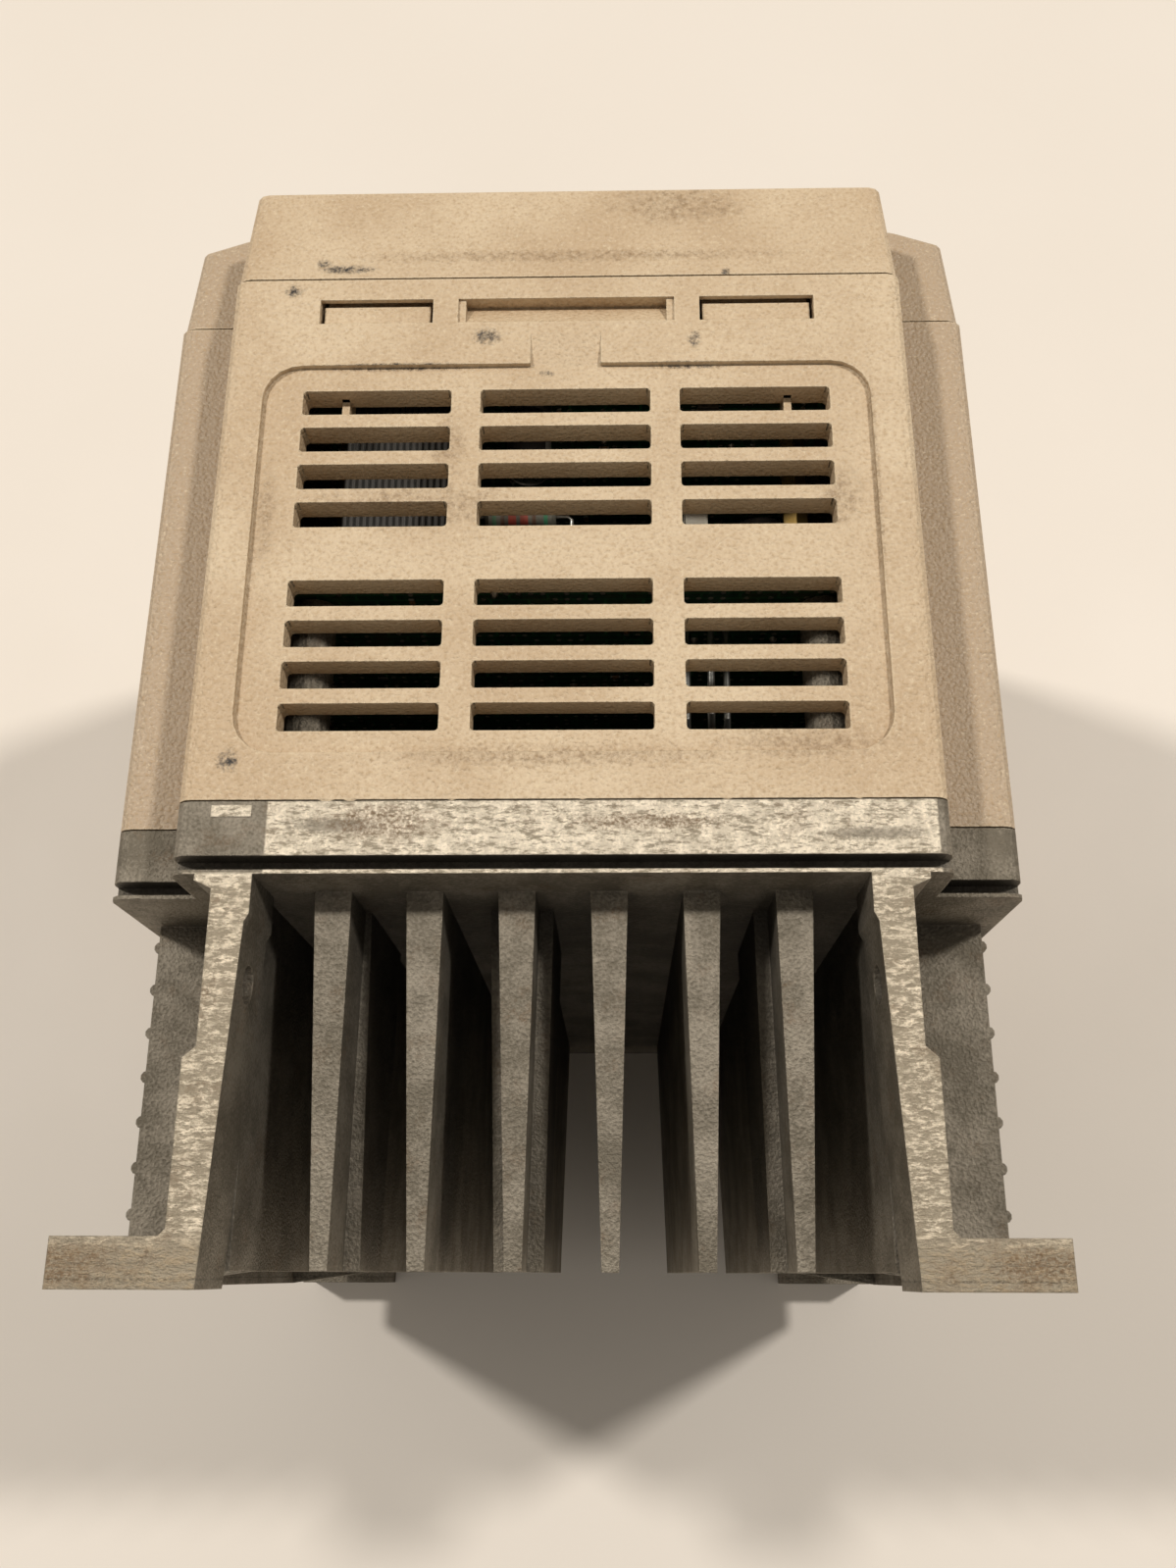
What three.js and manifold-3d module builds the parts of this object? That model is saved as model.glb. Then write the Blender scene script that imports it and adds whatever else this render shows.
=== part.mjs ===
// An AC motor drive that runs a door operator: a die-cast finned heat sink with four mounting feet,
// a moulded housing with a louvred upper end, boards and power parts inside, and a lift-off front
// with a plug-in keypad. Millimetres, +Z up. The front faces -Y and the feet bolt to a wall at +Y.
// The origin is at the middle of the lower end, so the drive stands on z = 0.

import * as THREE from 'three';
import { mergeVertices } from 'three/addons/utils/BufferGeometryUtils.js';
import Module from 'manifold-3d';

const wasm = await Module();
wasm.setup();

// ---------------------------------------------------------------- overall sizes
const bodyWidth = 180;
const bodyHeight = 223;
const sinkDepth = 86.3;           // wall face of the feet to the joint with the housing
const housingDepth = 118.8;       // joint plane to the front seam
const coverDepth = 29;            // front seam to the flat of the cover
const partGap = 0.3;              // between pieces that meet
const seamGap = 0.5;              // visible line between covers and housing

// ---------------------------------------------------------------- plan outline of the body
const sideStepDown = 18.3;        // the side portions stop short of both ends
const sidePortionWidth = 17.4;
const blockCornerRadius = 3;
const cornerSteps = 3;
const housingDraft = 0.9;         // each side, over the housing depth
const coverDraft = 2.2;           // each side, over the cover depth
const coverEdgeInset = 9;         // slope round the front face
const coverEdgeRise = 4.6;
const coverEdgeDrop = 5;          // and toward the two ends of the block
const sideEdgeDrop = 1.4;         // and of the side portions
const sideSeamStep = 1.6;         // the seam sits further forward on the side portions

// ---------------------------------------------------------------- heat sink
const barThickness = 10.6;
const endGrooveDepth = 5;
const endGrooveWidth = 2.7;
const lipThickness = 0.8;
const finCount = 8;
const outerFinInset = 10.5;       // outermost fin centre inside the block's side
const finRootWidth = 7.2;
const finTipWidth = 3.2;
const finRootSetback = 13;        // fin end below the end face, at its root
const finTipSetback = 21;         // and at its tip
const finTipClearance = 3;        // fin tips stop short of the wall
const armHeight = 17.5;
const armRootInset = 15.7;        // arm faces, each inside the block's side
const armReliefInset = 14.9;
const armReliefDepth = 64;
const armWallInset = 11.9;
const armHeadInset = 5;
const armNeckInset = 8.3;
const armLowerInset = 6;
const armStepDepth = 39.6;
const armHeadDepth = 2;
const armHeadSlope = 1.5;
const armStepRun = 1;             // half the length of the slope between head and foot
const armReliefRun = 0.8;
const armHoleOverrun = 3;
const footThickness = 8.6;
const footInset = 3.7;            // foot edge inside the body edge
const footFillet = 1.2;
const footHoleRadius = 3.5;
const footHoleFromEdge = 6.8;
const armHoleRadius = 3.65;
const armHoleDepth = 53.1;
const armHoleBelowEnd = 8.3;
const sideWallInset = 3.3;
const sideWallThickness = 3.2;
const sideWallSetback = 41.5;
const ridgeCount = 7;
const ridgePitch = 9;
const ridgeRadius = 1.3;
const ridgeSunk = 0.35;
const firstRidgeDepth = 67.6;
const padRootWidth = 6.4;
const padTipWidth = 4.8;
const padSetback = 29;
const padLength = 40;
const postRadius = 4.8;
const postRootRadius = 8.5;
const postRootLength = 15;
const postInset = 18.3;           // post centre inside the block's side
const postFromEnd = 23;

// ---------------------------------------------------------------- housing
const sideWall = 3.2;
const endWall = 4.2;
const panelInset = 9.3;           // panel edge inside the block's side
const panelCornerRadius = 8;
const panelRecess = 1.2;
const panelRearMargin = 9.75;     // joint plane to the panel
const panelFrontMargin = 22;      // panel to the front seam
const louvrePitch = 8.86;
const louvreSlot = 5.74;
const rowsPerGroup = 4;
const groupFrontMargin = 5.6;
const groupRearMargin = 4.8;
const middleSlotLength = 35.45;
const louvreBar = 6.1;
const louvreSideMargin = 8.3;
const rampHalfWidth = 7.4;
const rampLength = 7.6;
const pocketToWindow = 5.4;
const pocketBackFromSeam = 11.5;
const pocketLength = 6;
const pocketDeepEnd = 3.4;
const pocketShallowEnd = 0.6;
const pocketRampInset = 1.6;
const windowInset = 20;           // window's outer end inside the block's side
const windowWidth = 24.2;
const windowRoof = 1.1;           // wall left over the latch between window and seam
const innerRibInset = 25.9;       // rib inside the block's side
const innerRibThickness = 1.6;
const innerRibHeight = 7;
const innerRibPast = 4;           // rib runs on past the louvred panel

// ---------------------------------------------------------------- lower end
const entryInset = 12.6;          // entry opening inside the block's side
const entryLength = 44;
const entryFromJoint = 60;
const entryPlateThickness = 3;
const gasketWidth = 3;            // land left round the entry opening
const grommetCount = 3;
const grommetPitch = 38;
const grommetRadius = 13;
const grommetFlange = 2.5;
const grommetFlangeThickness = 1.5;
const grommetWall = 2;
const membraneThickness = 1.5;
const membraneHeight = 1.05;      // membrane above the plate's outer face
const grommetFootRise = 0.2;      // neck stops short of the plate's outer face

// ---------------------------------------------------------------- boards and power parts
const powerBoardFromJoint = 51.7;
const boardThickness = 1.6;
const powerBoardInset = 8.6;      // board edge inside the block's side
const powerBoardEndMargin = 12;
const controlBoardFromSeam = 15;
const controlBoardInset = 14.6;
const controlBoardEndMargin = 18;
const controlBoardFromEnd = 52;   // lower edge, from the lower end as the terminals are
const spacerRadius = 3.2;
const spacerInset = 20.6;
const spacerFromEnd = 22;
const boardScrewRadius = 2.9;
const boardScrewHeight = 2;

const powerModuleAboveMiddle = 16.5;
const rectifierBelowMiddle = 33.5;
const moduleFlangeWidth = 8;
const moduleScrewInset = 4.2;
const moduleScrewRadius = 3.6;
const moduleScrewHeight = 3.4;
const terminalFromEnd = 38;       // middle of the main terminals above the lower end
const terminalInset = 4;          // block ends inside the board's edges
const terminalHeight = 22;
const terminalThickness = 24;
const terminalFloorRise = 12;
const terminalRearLip = 3;
const terminalLift = 1;           // block clear of the board's solder side
const terminalCount = 6;
const terminalWall = 2.4;
const sensorAboveTerminal = 26;
const sensorHalfWidth = 11;
const sensorHeight = 18;
const sensorThickness = 20;
const sensorInsetLeft = 18;       // sensor centres inside the board's edges
const sensorInsetRight = 20;
const busCapacitorAboveSensor = 32;
const busCapacitorRadius = 15;
const busCapacitorLeft = -30;     // centres across the drive
const busCapacitorRight = 6;
const busCapacitorHeadroom = 6.5; // can end short of the control board
const relayAboveCapacitor = 46;
const relayHalfWidth = 10;
const relayHeight = 30;
const relayThickness = 24;
const relayInset = 16;
const transformerAboveCapacitor = 40;
const transformerHalfWidth = 15;
const transformerHeight = 34;
const transformerThickness = 26;
const transformerInset = 22;
const snubberPlace = -6;
const snubberRadius = 6.5;
const snubberLength = 22;
const snubberBelowBoardEnd = 25;
const filterPlace = 6;
const filterRadius = 5;
const filterLength = 20;
const filterBelowBoardEnd = 5.5;
const smoothingInset = 22;
const smoothingRadius = 5.5;
const smoothingLength = 18;
const smoothingBelowBoardEnd = 13;
const resistorPlace = 4;
const resistorBelowBoardEnd = 39;
const resistorLength = 24;
const resistorRadius = 3.4;
const resistorLift = 1.5;         // body clear of the board
const resistorLead = 0.9;
const resistorLeadLength = 5;
const lowerSpacerFromEnd = 30;
const controlTerminalInset = 8;
const controlTerminalFromBoardEnd = 3;
const controlTerminalHeight = 12;
const controlTerminalThickness = 11;
const controlTerminalWays = 12;
const controlScrewRadius = 2;     // each screw well in the control terminals
const controlScrewDepth = 2;
const logicSwitchInset = 14;
const logicSwitchFromBoardEnd = 26;
const ribbonWidth = 28;
const ribbonThickness = 1;
const ribbonFromPost = 6.3;       // ribbon edge inside the post's centre
const ribbonAboveBoard = 4;
const ribbonReach = 3;            // folds stand off both boards by this much
const ribbonTail = 12;
const ribbonLowerTail = 9;

// ---------------------------------------------------------------- covers and keypad
const coverWall = 2.8;
const coverSplitBelowKeypad = 24;
const gripGrooveCount = 5;
const gripGroovePitch = 5;
const gripGrooveWidth = 2;
const gripGrooveDepth = 1;
const gripHalfLength = 22;
const gripBelowSplit = 12;
const tongueThickness = 2.2;
const tongueReach = 14.5;
const tongueClearance = 0.5;
const latchClearance = 0.7;       // round the latch pad in its window
const latchRecess = 1.6;          // latch pad below the outer face
const coverRearInset = 0.4;       // cover's rear edge inside the housing's
const coverEndGap = 0.2;
const coverEdgeEndInset = 1.8;
const splitEdgeRearInset = 1.4;   // lip along the cover split, inside the cover's sides
const splitEdgeFrontInset = 6;
const keypadHalfWidth = 33;
const keypadHeight = 94;
const keypadEndMargin = 21;
const keypadDepth = 19;
const keypadProud = 1;
const keypadClearance = 0.5;
const keyWidth = 12;
const keyHeight = 7.5;
const keyClearance = 0.4;
const keyProud = 1;
const keyTravel = 0.8;
const keyPocketDepth = 3.6;
const keyCorner = 1.4;
const keyColumnPitch = 18;
const keyRowPitch = 11;
const displayHalfWidth = 27;
const displayHeight = 34;
const displayRecess = 2.2;
const windowPaneThickness = 1.6;
const displayEndMargin = 6;
const keysBelowDisplay = 11;
const keypadCorner = 3;
const plugHalfWidth = 10;
const plugDepth = 6;
const plugFromEnd = 20;
const plugLength = 20;

// ---------------------------------------------------------------- derived places
const totalDepth = sinkDepth + housingDepth + coverDepth + keypadProud + keyProud;
const wallFace = totalDepth / 2;                  // y of the mounting plane
const midHeight = bodyHeight / 2;
const bodyHalfWidth = bodyWidth / 2;
const blockHalfWidth = bodyHalfWidth - sidePortionWidth;
const jointDepth = sinkDepth;
const seamDepth = jointDepth + housingDepth;
const coverFaceDepth = seamDepth + coverDepth;
const plateRearDepth = jointDepth - barThickness - endGrooveWidth - lipThickness;
const powerBoardDepth = jointDepth + powerBoardFromJoint;
const powerBoardFront = powerBoardDepth + boardThickness;
const controlBoardDepth = seamDepth - controlBoardFromSeam;
const controlBoardFront = controlBoardDepth + boardThickness;
const keypadFaceDepth = coverFaceDepth + keypadProud;
const sideSeamDepth = seamDepth + sideSeamStep;
const innerRibOffset = blockHalfWidth - innerRibInset;
const keypadHigh = bodyHeight - keypadEndMargin;
const keypadLow = keypadHigh - keypadHeight;
const coverSplitHeight = keypadLow - coverSplitBelowKeypad;
const controlBoardHigh = bodyHeight - controlBoardEndMargin;
const controlBoardLow = controlBoardFromEnd;
const boardSpace = controlBoardDepth - powerBoardFront;
const finPitch = 2 * (blockHalfWidth - outerFinInset) / (finCount - 1);
const armRootInner = blockHalfWidth - armRootInset;
const armReliefInner = blockHalfWidth - armReliefInset;
const armWallInner = blockHalfWidth - armWallInset;
const armHeadOuter = blockHalfWidth - armHeadInset;
const armNeckOuter = blockHalfWidth - armNeckInset;
const armLowerOuter = blockHalfWidth - armLowerInset;
const postSpread = blockHalfWidth - postInset;
const panelHalfWidth = blockHalfWidth - panelInset;
const middleSlotHalfWidth = middleSlotLength / 2;
const windowOuter = blockHalfWidth - windowInset;
const windowInner = windowOuter - windowWidth;
const pocketHalfWidth = windowInner - pocketToWindow;
const entryHalfWidth = blockHalfWidth - entryInset;
const powerBoardHalfWidth = blockHalfWidth - powerBoardInset;
const controlBoardHalfWidth = blockHalfWidth - controlBoardInset;
const spacerSpread = blockHalfWidth - spacerInset;

// ---------------------------------------------------------------- finishes
function finish(color, roughness, metalness) {
  return () => new THREE.MeshStandardMaterial({ color, roughness, metalness });
}
const castAluminium = finish(0x8e8c86, 0.55, 0.9);
const creamPlastic = finish(0xcbb593, 0.6, 0);
const darkPlastic = finish(0x2b2c2e, 0.5, 0);
const blackRubber = finish(0x1c1c1c, 0.85, 0);
const boardGreen = finish(0x1f5238, 0.5, 0);
const moduleGrey = finish(0x3a3b3d, 0.6, 0);
const sleeveBlack = finish(0x17181c, 0.35, 0);
const zincSteel = finish(0xb7b8b4, 0.35, 1);
const brass = finish(0xb08d4a, 0.35, 1);
const terminalBlack = finish(0x202123, 0.6, 0);
const terminalGreen = finish(0x2f7a4c, 0.5, 0);
const relayWhite = finish(0xd8d6cc, 0.5, 0);
const tapeYellow = finish(0xc7a23a, 0.6, 0);
const resistorRed = finish(0x8a3022, 0.5, 0);
const ribbonGrey = finish(0x9a9c9e, 0.6, 0);
const smokedWindow = finish(0x2a2f2c, 0.15, 0);
const keyGrey = finish(0x6f7478, 0.6, 0);
const keyGreen = finish(0x2e7d4f, 0.6, 0);
const keyRed = finish(0xa62c25, 0.6, 0);

// ---------------------------------------------------------------- shape helpers
// depth is measured from the wall face toward the front, so a larger depth is a smaller y

function solidOf(geometry) {
  const bare = geometry.clone();
  bare.deleteAttribute('normal');
  bare.deleteAttribute('uv');
  const merged = mergeVertices(bare, 1e-4);
  const mesh = new wasm.Mesh({
    numProp: 3,
    vertProperties: new Float32Array(merged.attributes.position.array),
    triVerts: new Uint32Array(merged.index.array),
  });
  return new wasm.Manifold(mesh);
}

function geometryOf(solid) {
  const mesh = solid.getMesh();
  const geometry = new THREE.BufferGeometry();
  geometry.setAttribute('position', new THREE.BufferAttribute(mesh.vertProperties, 3));
  geometry.setIndex(new THREE.BufferAttribute(mesh.triVerts, 1));
  geometry.computeVertexNormals();
  return geometry;
}

function joined(solids) {
  return solids.reduce((whole, piece) => whole.add(piece));
}

function block(x0, x1, depth0, depth1, z0, z1) {
  const geometry = new THREE.BoxGeometry(x1 - x0, depth1 - depth0, z1 - z0);
  geometry.translate((x0 + x1) / 2, wallFace - (depth0 + depth1) / 2, (z0 + z1) / 2);
  return geometry;
}

function shapeOf(points) {
  return new THREE.Shape(points.map(([a, b]) => new THREE.Vector2(a, b)));
}

// points are (x, z); the prism runs from depth0 toward the front
function prismAlongDepth(points, depth0, depth1, steps = 1) {
  const options = { depth: depth1 - depth0, steps, bevelEnabled: false };
  const geometry = new THREE.ExtrudeGeometry(shapeOf(points), options);
  geometry.rotateX(Math.PI / 2);
  geometry.translate(0, wallFace - depth0, 0);
  return geometry;
}

// points are (x, depth); the prism runs from z0 up to z1
function prismAlongHeight(points, z0, z1) {
  const plan = points.map(([x, depth]) => [x, wallFace - depth]);
  const options = { depth: z1 - z0, steps: 1, bevelEnabled: false };
  const geometry = new THREE.ExtrudeGeometry(shapeOf(plan), options);
  geometry.translate(0, 0, z0);
  return geometry;
}

// points are (depth, z); the prism runs from x0 to x1
function prismAlongWidth(points, x0, x1) {
  const profile = points.map(([depth, z]) => [wallFace - depth, z]);
  const options = { depth: x1 - x0, steps: 1, bevelEnabled: false };
  const geometry = new THREE.ExtrudeGeometry(shapeOf(profile), options);
  geometry.rotateZ(Math.PI / 2);
  geometry.rotateY(Math.PI / 2);
  geometry.translate(x0, 0, 0);
  return geometry;
}

function rodAlongDepth(x, z, radius, depth0, depth1, sides = 20) {
  const geometry = new THREE.CylinderGeometry(radius, radius, depth1 - depth0, sides);
  geometry.translate(x, wallFace - (depth0 + depth1) / 2, z);
  return geometry;
}

function rodAlongHeight(x, depth, radius, z0, z1, sides = 20) {
  const geometry = new THREE.CylinderGeometry(radius, radius, z1 - z0, sides);
  geometry.rotateX(Math.PI / 2);
  geometry.translate(x, wallFace - depth, (z0 + z1) / 2);
  return geometry;
}

function rodAlongWidth(depth, z, radius, x0, x1, sides = 20) {
  const geometry = new THREE.CylinderGeometry(radius, radius, x1 - x0, sides);
  geometry.rotateZ(Math.PI / 2);
  geometry.translate((x0 + x1) / 2, wallFace - depth, z);
  return geometry;
}

function roundedOutline(x0, x1, z0, z1, radius, steps = cornerSteps) {
  const centres = [
    [x1 - radius, z1 - radius],
    [x0 + radius, z1 - radius],
    [x0 + radius, z0 + radius],
    [x1 - radius, z0 + radius],
  ];
  const points = [];
  centres.forEach(([x, z], quarter) => {
    for (let step = 0; step <= steps; step += 1) {
      const angle = (quarter + step / steps) * Math.PI / 2;
      points.push([x + radius * Math.cos(angle), z + radius * Math.sin(angle)]);
    }
  });
  return points;
}

// The body outline seen from the front: a tall block with a lower portion at each side.
function bodyOutline(inset, endInset, radius) {
  const halfBlock = blockHalfWidth - inset;
  const halfBody = bodyHalfWidth - inset;
  const top = midHeight - endInset;
  const sideTop = midHeight - sideStepDown - inset;
  const quarter = [];
  const addCorner = (x, z) => {
    for (let step = 0; step <= cornerSteps; step += 1) {
      const angle = (step / cornerSteps) * Math.PI / 2;
      quarter.push([x - radius + radius * Math.cos(angle), z - radius + radius * Math.sin(angle)]);
    }
  };
  addCorner(halfBody, sideTop);
  quarter.push([halfBlock, sideTop]);
  addCorner(halfBlock, top);
  const upperRight = quarter;
  const upperLeft = quarter.map(([x, z]) => [-x, z]).reverse();
  const lowerLeft = quarter.map(([x, z]) => [-x, -z]);
  const lowerRight = quarter.map(([x, z]) => [x, -z]).reverse();
  const whole = [...upperRight, ...upperLeft, ...lowerLeft, ...lowerRight];
  return whole.map(([x, z]) => [x, z + midHeight]);
}

// Moves each ring of a stepped prism in toward its middle, ring by ring from the rear. The
// block's ends come in by endInset and the side portions' ends by sideEndInset.
function shapeRings(geometry, depth0, depth1, rings) {
  const position = geometry.attributes.position;
  for (let i = 0; i < position.count; i += 1) {
    const share = (wallFace - position.getY(i) - depth0) / (depth1 - depth0);
    const ring = rings[Math.round(share * (rings.length - 1))];
    const x = position.getX(i);
    const z = position.getZ(i) - midHeight;
    const onSide = Math.abs(z) < midHeight - sideStepDown / 2;
    const endInset = onSide ? ring.sideEndInset : ring.endInset;
    position.setXYZ(
      i,
      x - Math.sign(x) * ring.inset,
      wallFace - ring.depth,
      z - Math.sign(z) * endInset + midHeight,
    );
  }
  return geometry;
}

function ringedBody(inset, endInset, radius, rings) {
  const outline = bodyOutline(inset, endInset, radius);
  const depth0 = rings[0].depth;
  const depth1 = rings[rings.length - 1].depth;
  const prism = prismAlongDepth(outline, depth0, depth1, rings.length - 1);
  return shapeRings(prism, depth0, depth1, rings);
}

// ---------------------------------------------------------------- the assembled group
const drive = new THREE.Group();

function addPart(name, geometry, material) {
  const mesh = new THREE.Mesh(geometry, material());
  mesh.name = name;
  drive.add(mesh);
  return mesh;
}

// ---------------------------------------------------------------- heat sink
function mirrored(points) {
  return points.map(([x, depth]) => [-x, depth]).reverse();
}

function finBar(centre, rootLeft, rootRight, tipLeft, tipRight, zLow, zHigh, tipRise) {
  const overlap = 0.5;
  const section = [
    [centre - tipLeft, finTipClearance],
    [centre - rootLeft, plateRearDepth + overlap],
    [centre + rootRight, plateRearDepth + overlap],
    [centre + tipRight, finTipClearance],
  ];
  const geometry = prismAlongHeight(section.reverse(), zLow, zHigh);
  const position = geometry.attributes.position;
  for (let i = 0; i < position.count; i += 1) {
    const isTip = wallFace - position.getY(i) < finTipClearance + 1;
    const isHigh = position.getZ(i) > (zLow + zHigh) / 2;
    if (isTip) {
      position.setZ(i, position.getZ(i) + (isHigh ? -tipRise : tipRise));
    }
  }
  return solidOf(geometry);
}

function makeHeatSink() {
  const plateRings = [
    { depth: plateRearDepth, inset: 0, endInset: 0, sideEndInset: 0 },
    { depth: jointDepth, inset: 0, endInset: 0, sideEndInset: 0 },
  ];
  let sink = solidOf(ringedBody(0, 0, blockCornerRadius, plateRings));
  const grooveRear = plateRearDepth + lipThickness;
  const grooveFront = grooveRear + endGrooveWidth;
  const sideHigh = bodyHeight - sideStepDown;
  const past = 1;
  const grooves = [
    block(-blockHalfWidth - past, blockHalfWidth + past, grooveRear, grooveFront,
      bodyHeight - endGrooveDepth, bodyHeight + past),
    block(-blockHalfWidth - past, blockHalfWidth + past, grooveRear, grooveFront,
      -past, endGrooveDepth),
    block(-bodyHalfWidth - past, bodyHalfWidth + past, grooveRear, grooveFront,
      sideHigh - endGrooveDepth, sideHigh),
    block(-bodyHalfWidth - past, bodyHalfWidth + past, grooveRear, grooveFront,
      sideStepDown, sideStepDown + endGrooveDepth),
  ];
  const sideOnly = block(-blockHalfWidth, blockHalfWidth, grooveRear - past, grooveFront + past,
    sideStepDown - past, sideHigh + past);
  const sideGrooves = solidOf(grooves[2]).add(solidOf(grooves[3])).subtract(solidOf(sideOnly));
  sink = sink.subtract(solidOf(grooves[0])).subtract(solidOf(grooves[1])).subtract(sideGrooves);

  const pieces = [sink];
  const tipRise = finTipSetback - finRootSetback;
  for (let i = 0; i < finCount; i += 1) {
    const centre = (i - (finCount - 1) / 2) * finPitch;
    pieces.push(finBar(centre, finRootWidth / 2, finRootWidth / 2, finTipWidth / 2, finTipWidth / 2,
      finRootSetback, bodyHeight - finRootSetback, tipRise));
  }
  // Thicker pads below the upper end, where the power parts screw down from the other side.
  const padHigh = bodyHeight - padSetback;
  const innerFin = finPitch / 2;
  const outerFin = finPitch * 2.5;
  const padSides = [
    [innerFin, padRootWidth, padRootWidth, padTipWidth, padTipWidth],
    [outerFin, padTipWidth, finTipWidth / 2, padTipWidth, finTipWidth / 2],
    [-outerFin, finTipWidth / 2, padRootWidth, finTipWidth / 2, padTipWidth],
  ];
  for (const [centre, rootLeft, rootRight, tipLeft, tipRight] of padSides) {
    pieces.push(finBar(centre, rootLeft, rootRight, tipLeft, tipRight,
      padHigh - padLength, padHigh, tipRise));
  }

  const footOuter = bodyHalfWidth - footInset;
  const armTop = plateRearDepth + lipThickness;
  const armPlan = [
    [armWallInner, 0],
    [footOuter, 0],
    [footOuter, footThickness],
    [armLowerOuter + footFillet, footThickness],
    [armLowerOuter, footThickness + footFillet],
    [armLowerOuter, armStepDepth - armStepRun],
    [armNeckOuter, armStepDepth + armStepRun],
    [armNeckOuter, armTop - armHeadDepth - armHeadSlope],
    [armHeadOuter, armTop - armHeadDepth],
    [armHeadOuter, armTop],
    [armRootInner, armTop],
    [armRootInner, armReliefDepth + armReliefRun],
    [armReliefInner, armReliefDepth - armReliefRun],
  ];
  const wallOuter = bodyHalfWidth - sideWallInset;
  const wallInner = wallOuter - sideWallThickness;
  const finOuter = (finCount - 1) / 2 * finPitch;
  const wallLow = sideWallSetback;
  const wallHigh = bodyHeight - sideWallSetback;
  const wallPlan = [
    [wallInner, 0],
    [wallOuter, 0],
    [wallOuter, plateRearDepth + 0.5],
    [wallInner, plateRearDepth + 0.5],
  ];
  const webPlan = [
    [finOuter, finTipClearance],
    [wallInner + 0.5, 0],
    [wallInner + 0.5, plateRearDepth + 0.5],
    [finOuter, plateRearDepth + 0.5],
  ];
  const levels = [[0, armHeight], [bodyHeight - armHeight, bodyHeight]];
  for (const side of [1, -1]) {
    const turned = (plan) => (side > 0 ? plan : mirrored(plan));
    for (const [z0, z1] of levels) {
      pieces.push(solidOf(prismAlongHeight(turned(armPlan), z0, z1)));
    }
    pieces.push(solidOf(prismAlongHeight(turned(wallPlan), wallLow, wallHigh)));
    for (const z0 of [wallLow, wallHigh - sideWallThickness]) {
      pieces.push(solidOf(prismAlongHeight(turned(webPlan), z0, z0 + sideWallThickness)));
    }
    for (let i = 0; i < ridgeCount; i += 1) {
      const depth = firstRidgeDepth - i * ridgePitch;
      pieces.push(solidOf(rodAlongHeight(side * (wallOuter - ridgeSunk), depth, ridgeRadius,
        wallLow, wallHigh, 10)));
    }
    for (const z of [postFromEnd, bodyHeight - postFromEnd]) {
      pieces.push(solidOf(rodAlongDepth(side * postSpread, z, postRadius,
        jointDepth - 1, powerBoardDepth - partGap, 16)));
      const root = new THREE.CylinderGeometry(postRootRadius, postRadius, postRootLength + 1, 16);
      root.translate(side * postSpread, wallFace - jointDepth - postRootLength / 2 + 0.5, z);
      pieces.push(solidOf(root));
    }
  }
  sink = joined(pieces);

  const holeSpread = footOuter - footHoleFromEdge;
  for (const side of [1, -1]) {
    for (const z of [armHeight / 2, bodyHeight - armHeight / 2]) {
      sink = sink.subtract(solidOf(rodAlongDepth(side * holeSpread, z, footHoleRadius,
        -past, footThickness + past, 20)));
    }
    for (const z of [armHoleBelowEnd, bodyHeight - armHoleBelowEnd]) {
      const near = side * (armRootInner - armHoleOverrun);
      const far = side * (armHeadOuter + armHoleOverrun);
      const inner = Math.min(near, far);
      const outer = Math.max(near, far);
      sink = sink.subtract(solidOf(rodAlongWidth(armHoleDepth, z, armHoleRadius, inner, outer, 16)));
    }
  }
  return geometryOf(sink);
}
addPart('heat_sink', makeHeatSink(), castAluminium);

// ---------------------------------------------------------------- housing
const panelRear = jointDepth + panelRearMargin;
const panelFront = seamDepth - panelFrontMargin;
const pocketFront = seamDepth - pocketBackFromSeam + pocketLength;
const pocketRear = seamDepth - pocketBackFromSeam;

function louvreRows() {
  const rows = [];
  for (let row = 0; row < rowsPerGroup; row += 1) {
    const front = panelFront - groupFrontMargin - row * louvrePitch;
    rows.push([front - louvreSlot, front]);
    const rear = panelRear + groupRearMargin + row * louvrePitch;
    rows.push([rear, rear + louvreSlot]);
  }
  return rows;
}

function louvreColumns() {
  const outerStart = middleSlotHalfWidth + louvreBar;
  const outerEnd = panelHalfWidth - louvreSideMargin;
  return [
    [-outerEnd, -outerStart],
    [-middleSlotHalfWidth, middleSlotHalfWidth],
    [outerStart, outerEnd],
  ];
}

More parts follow.
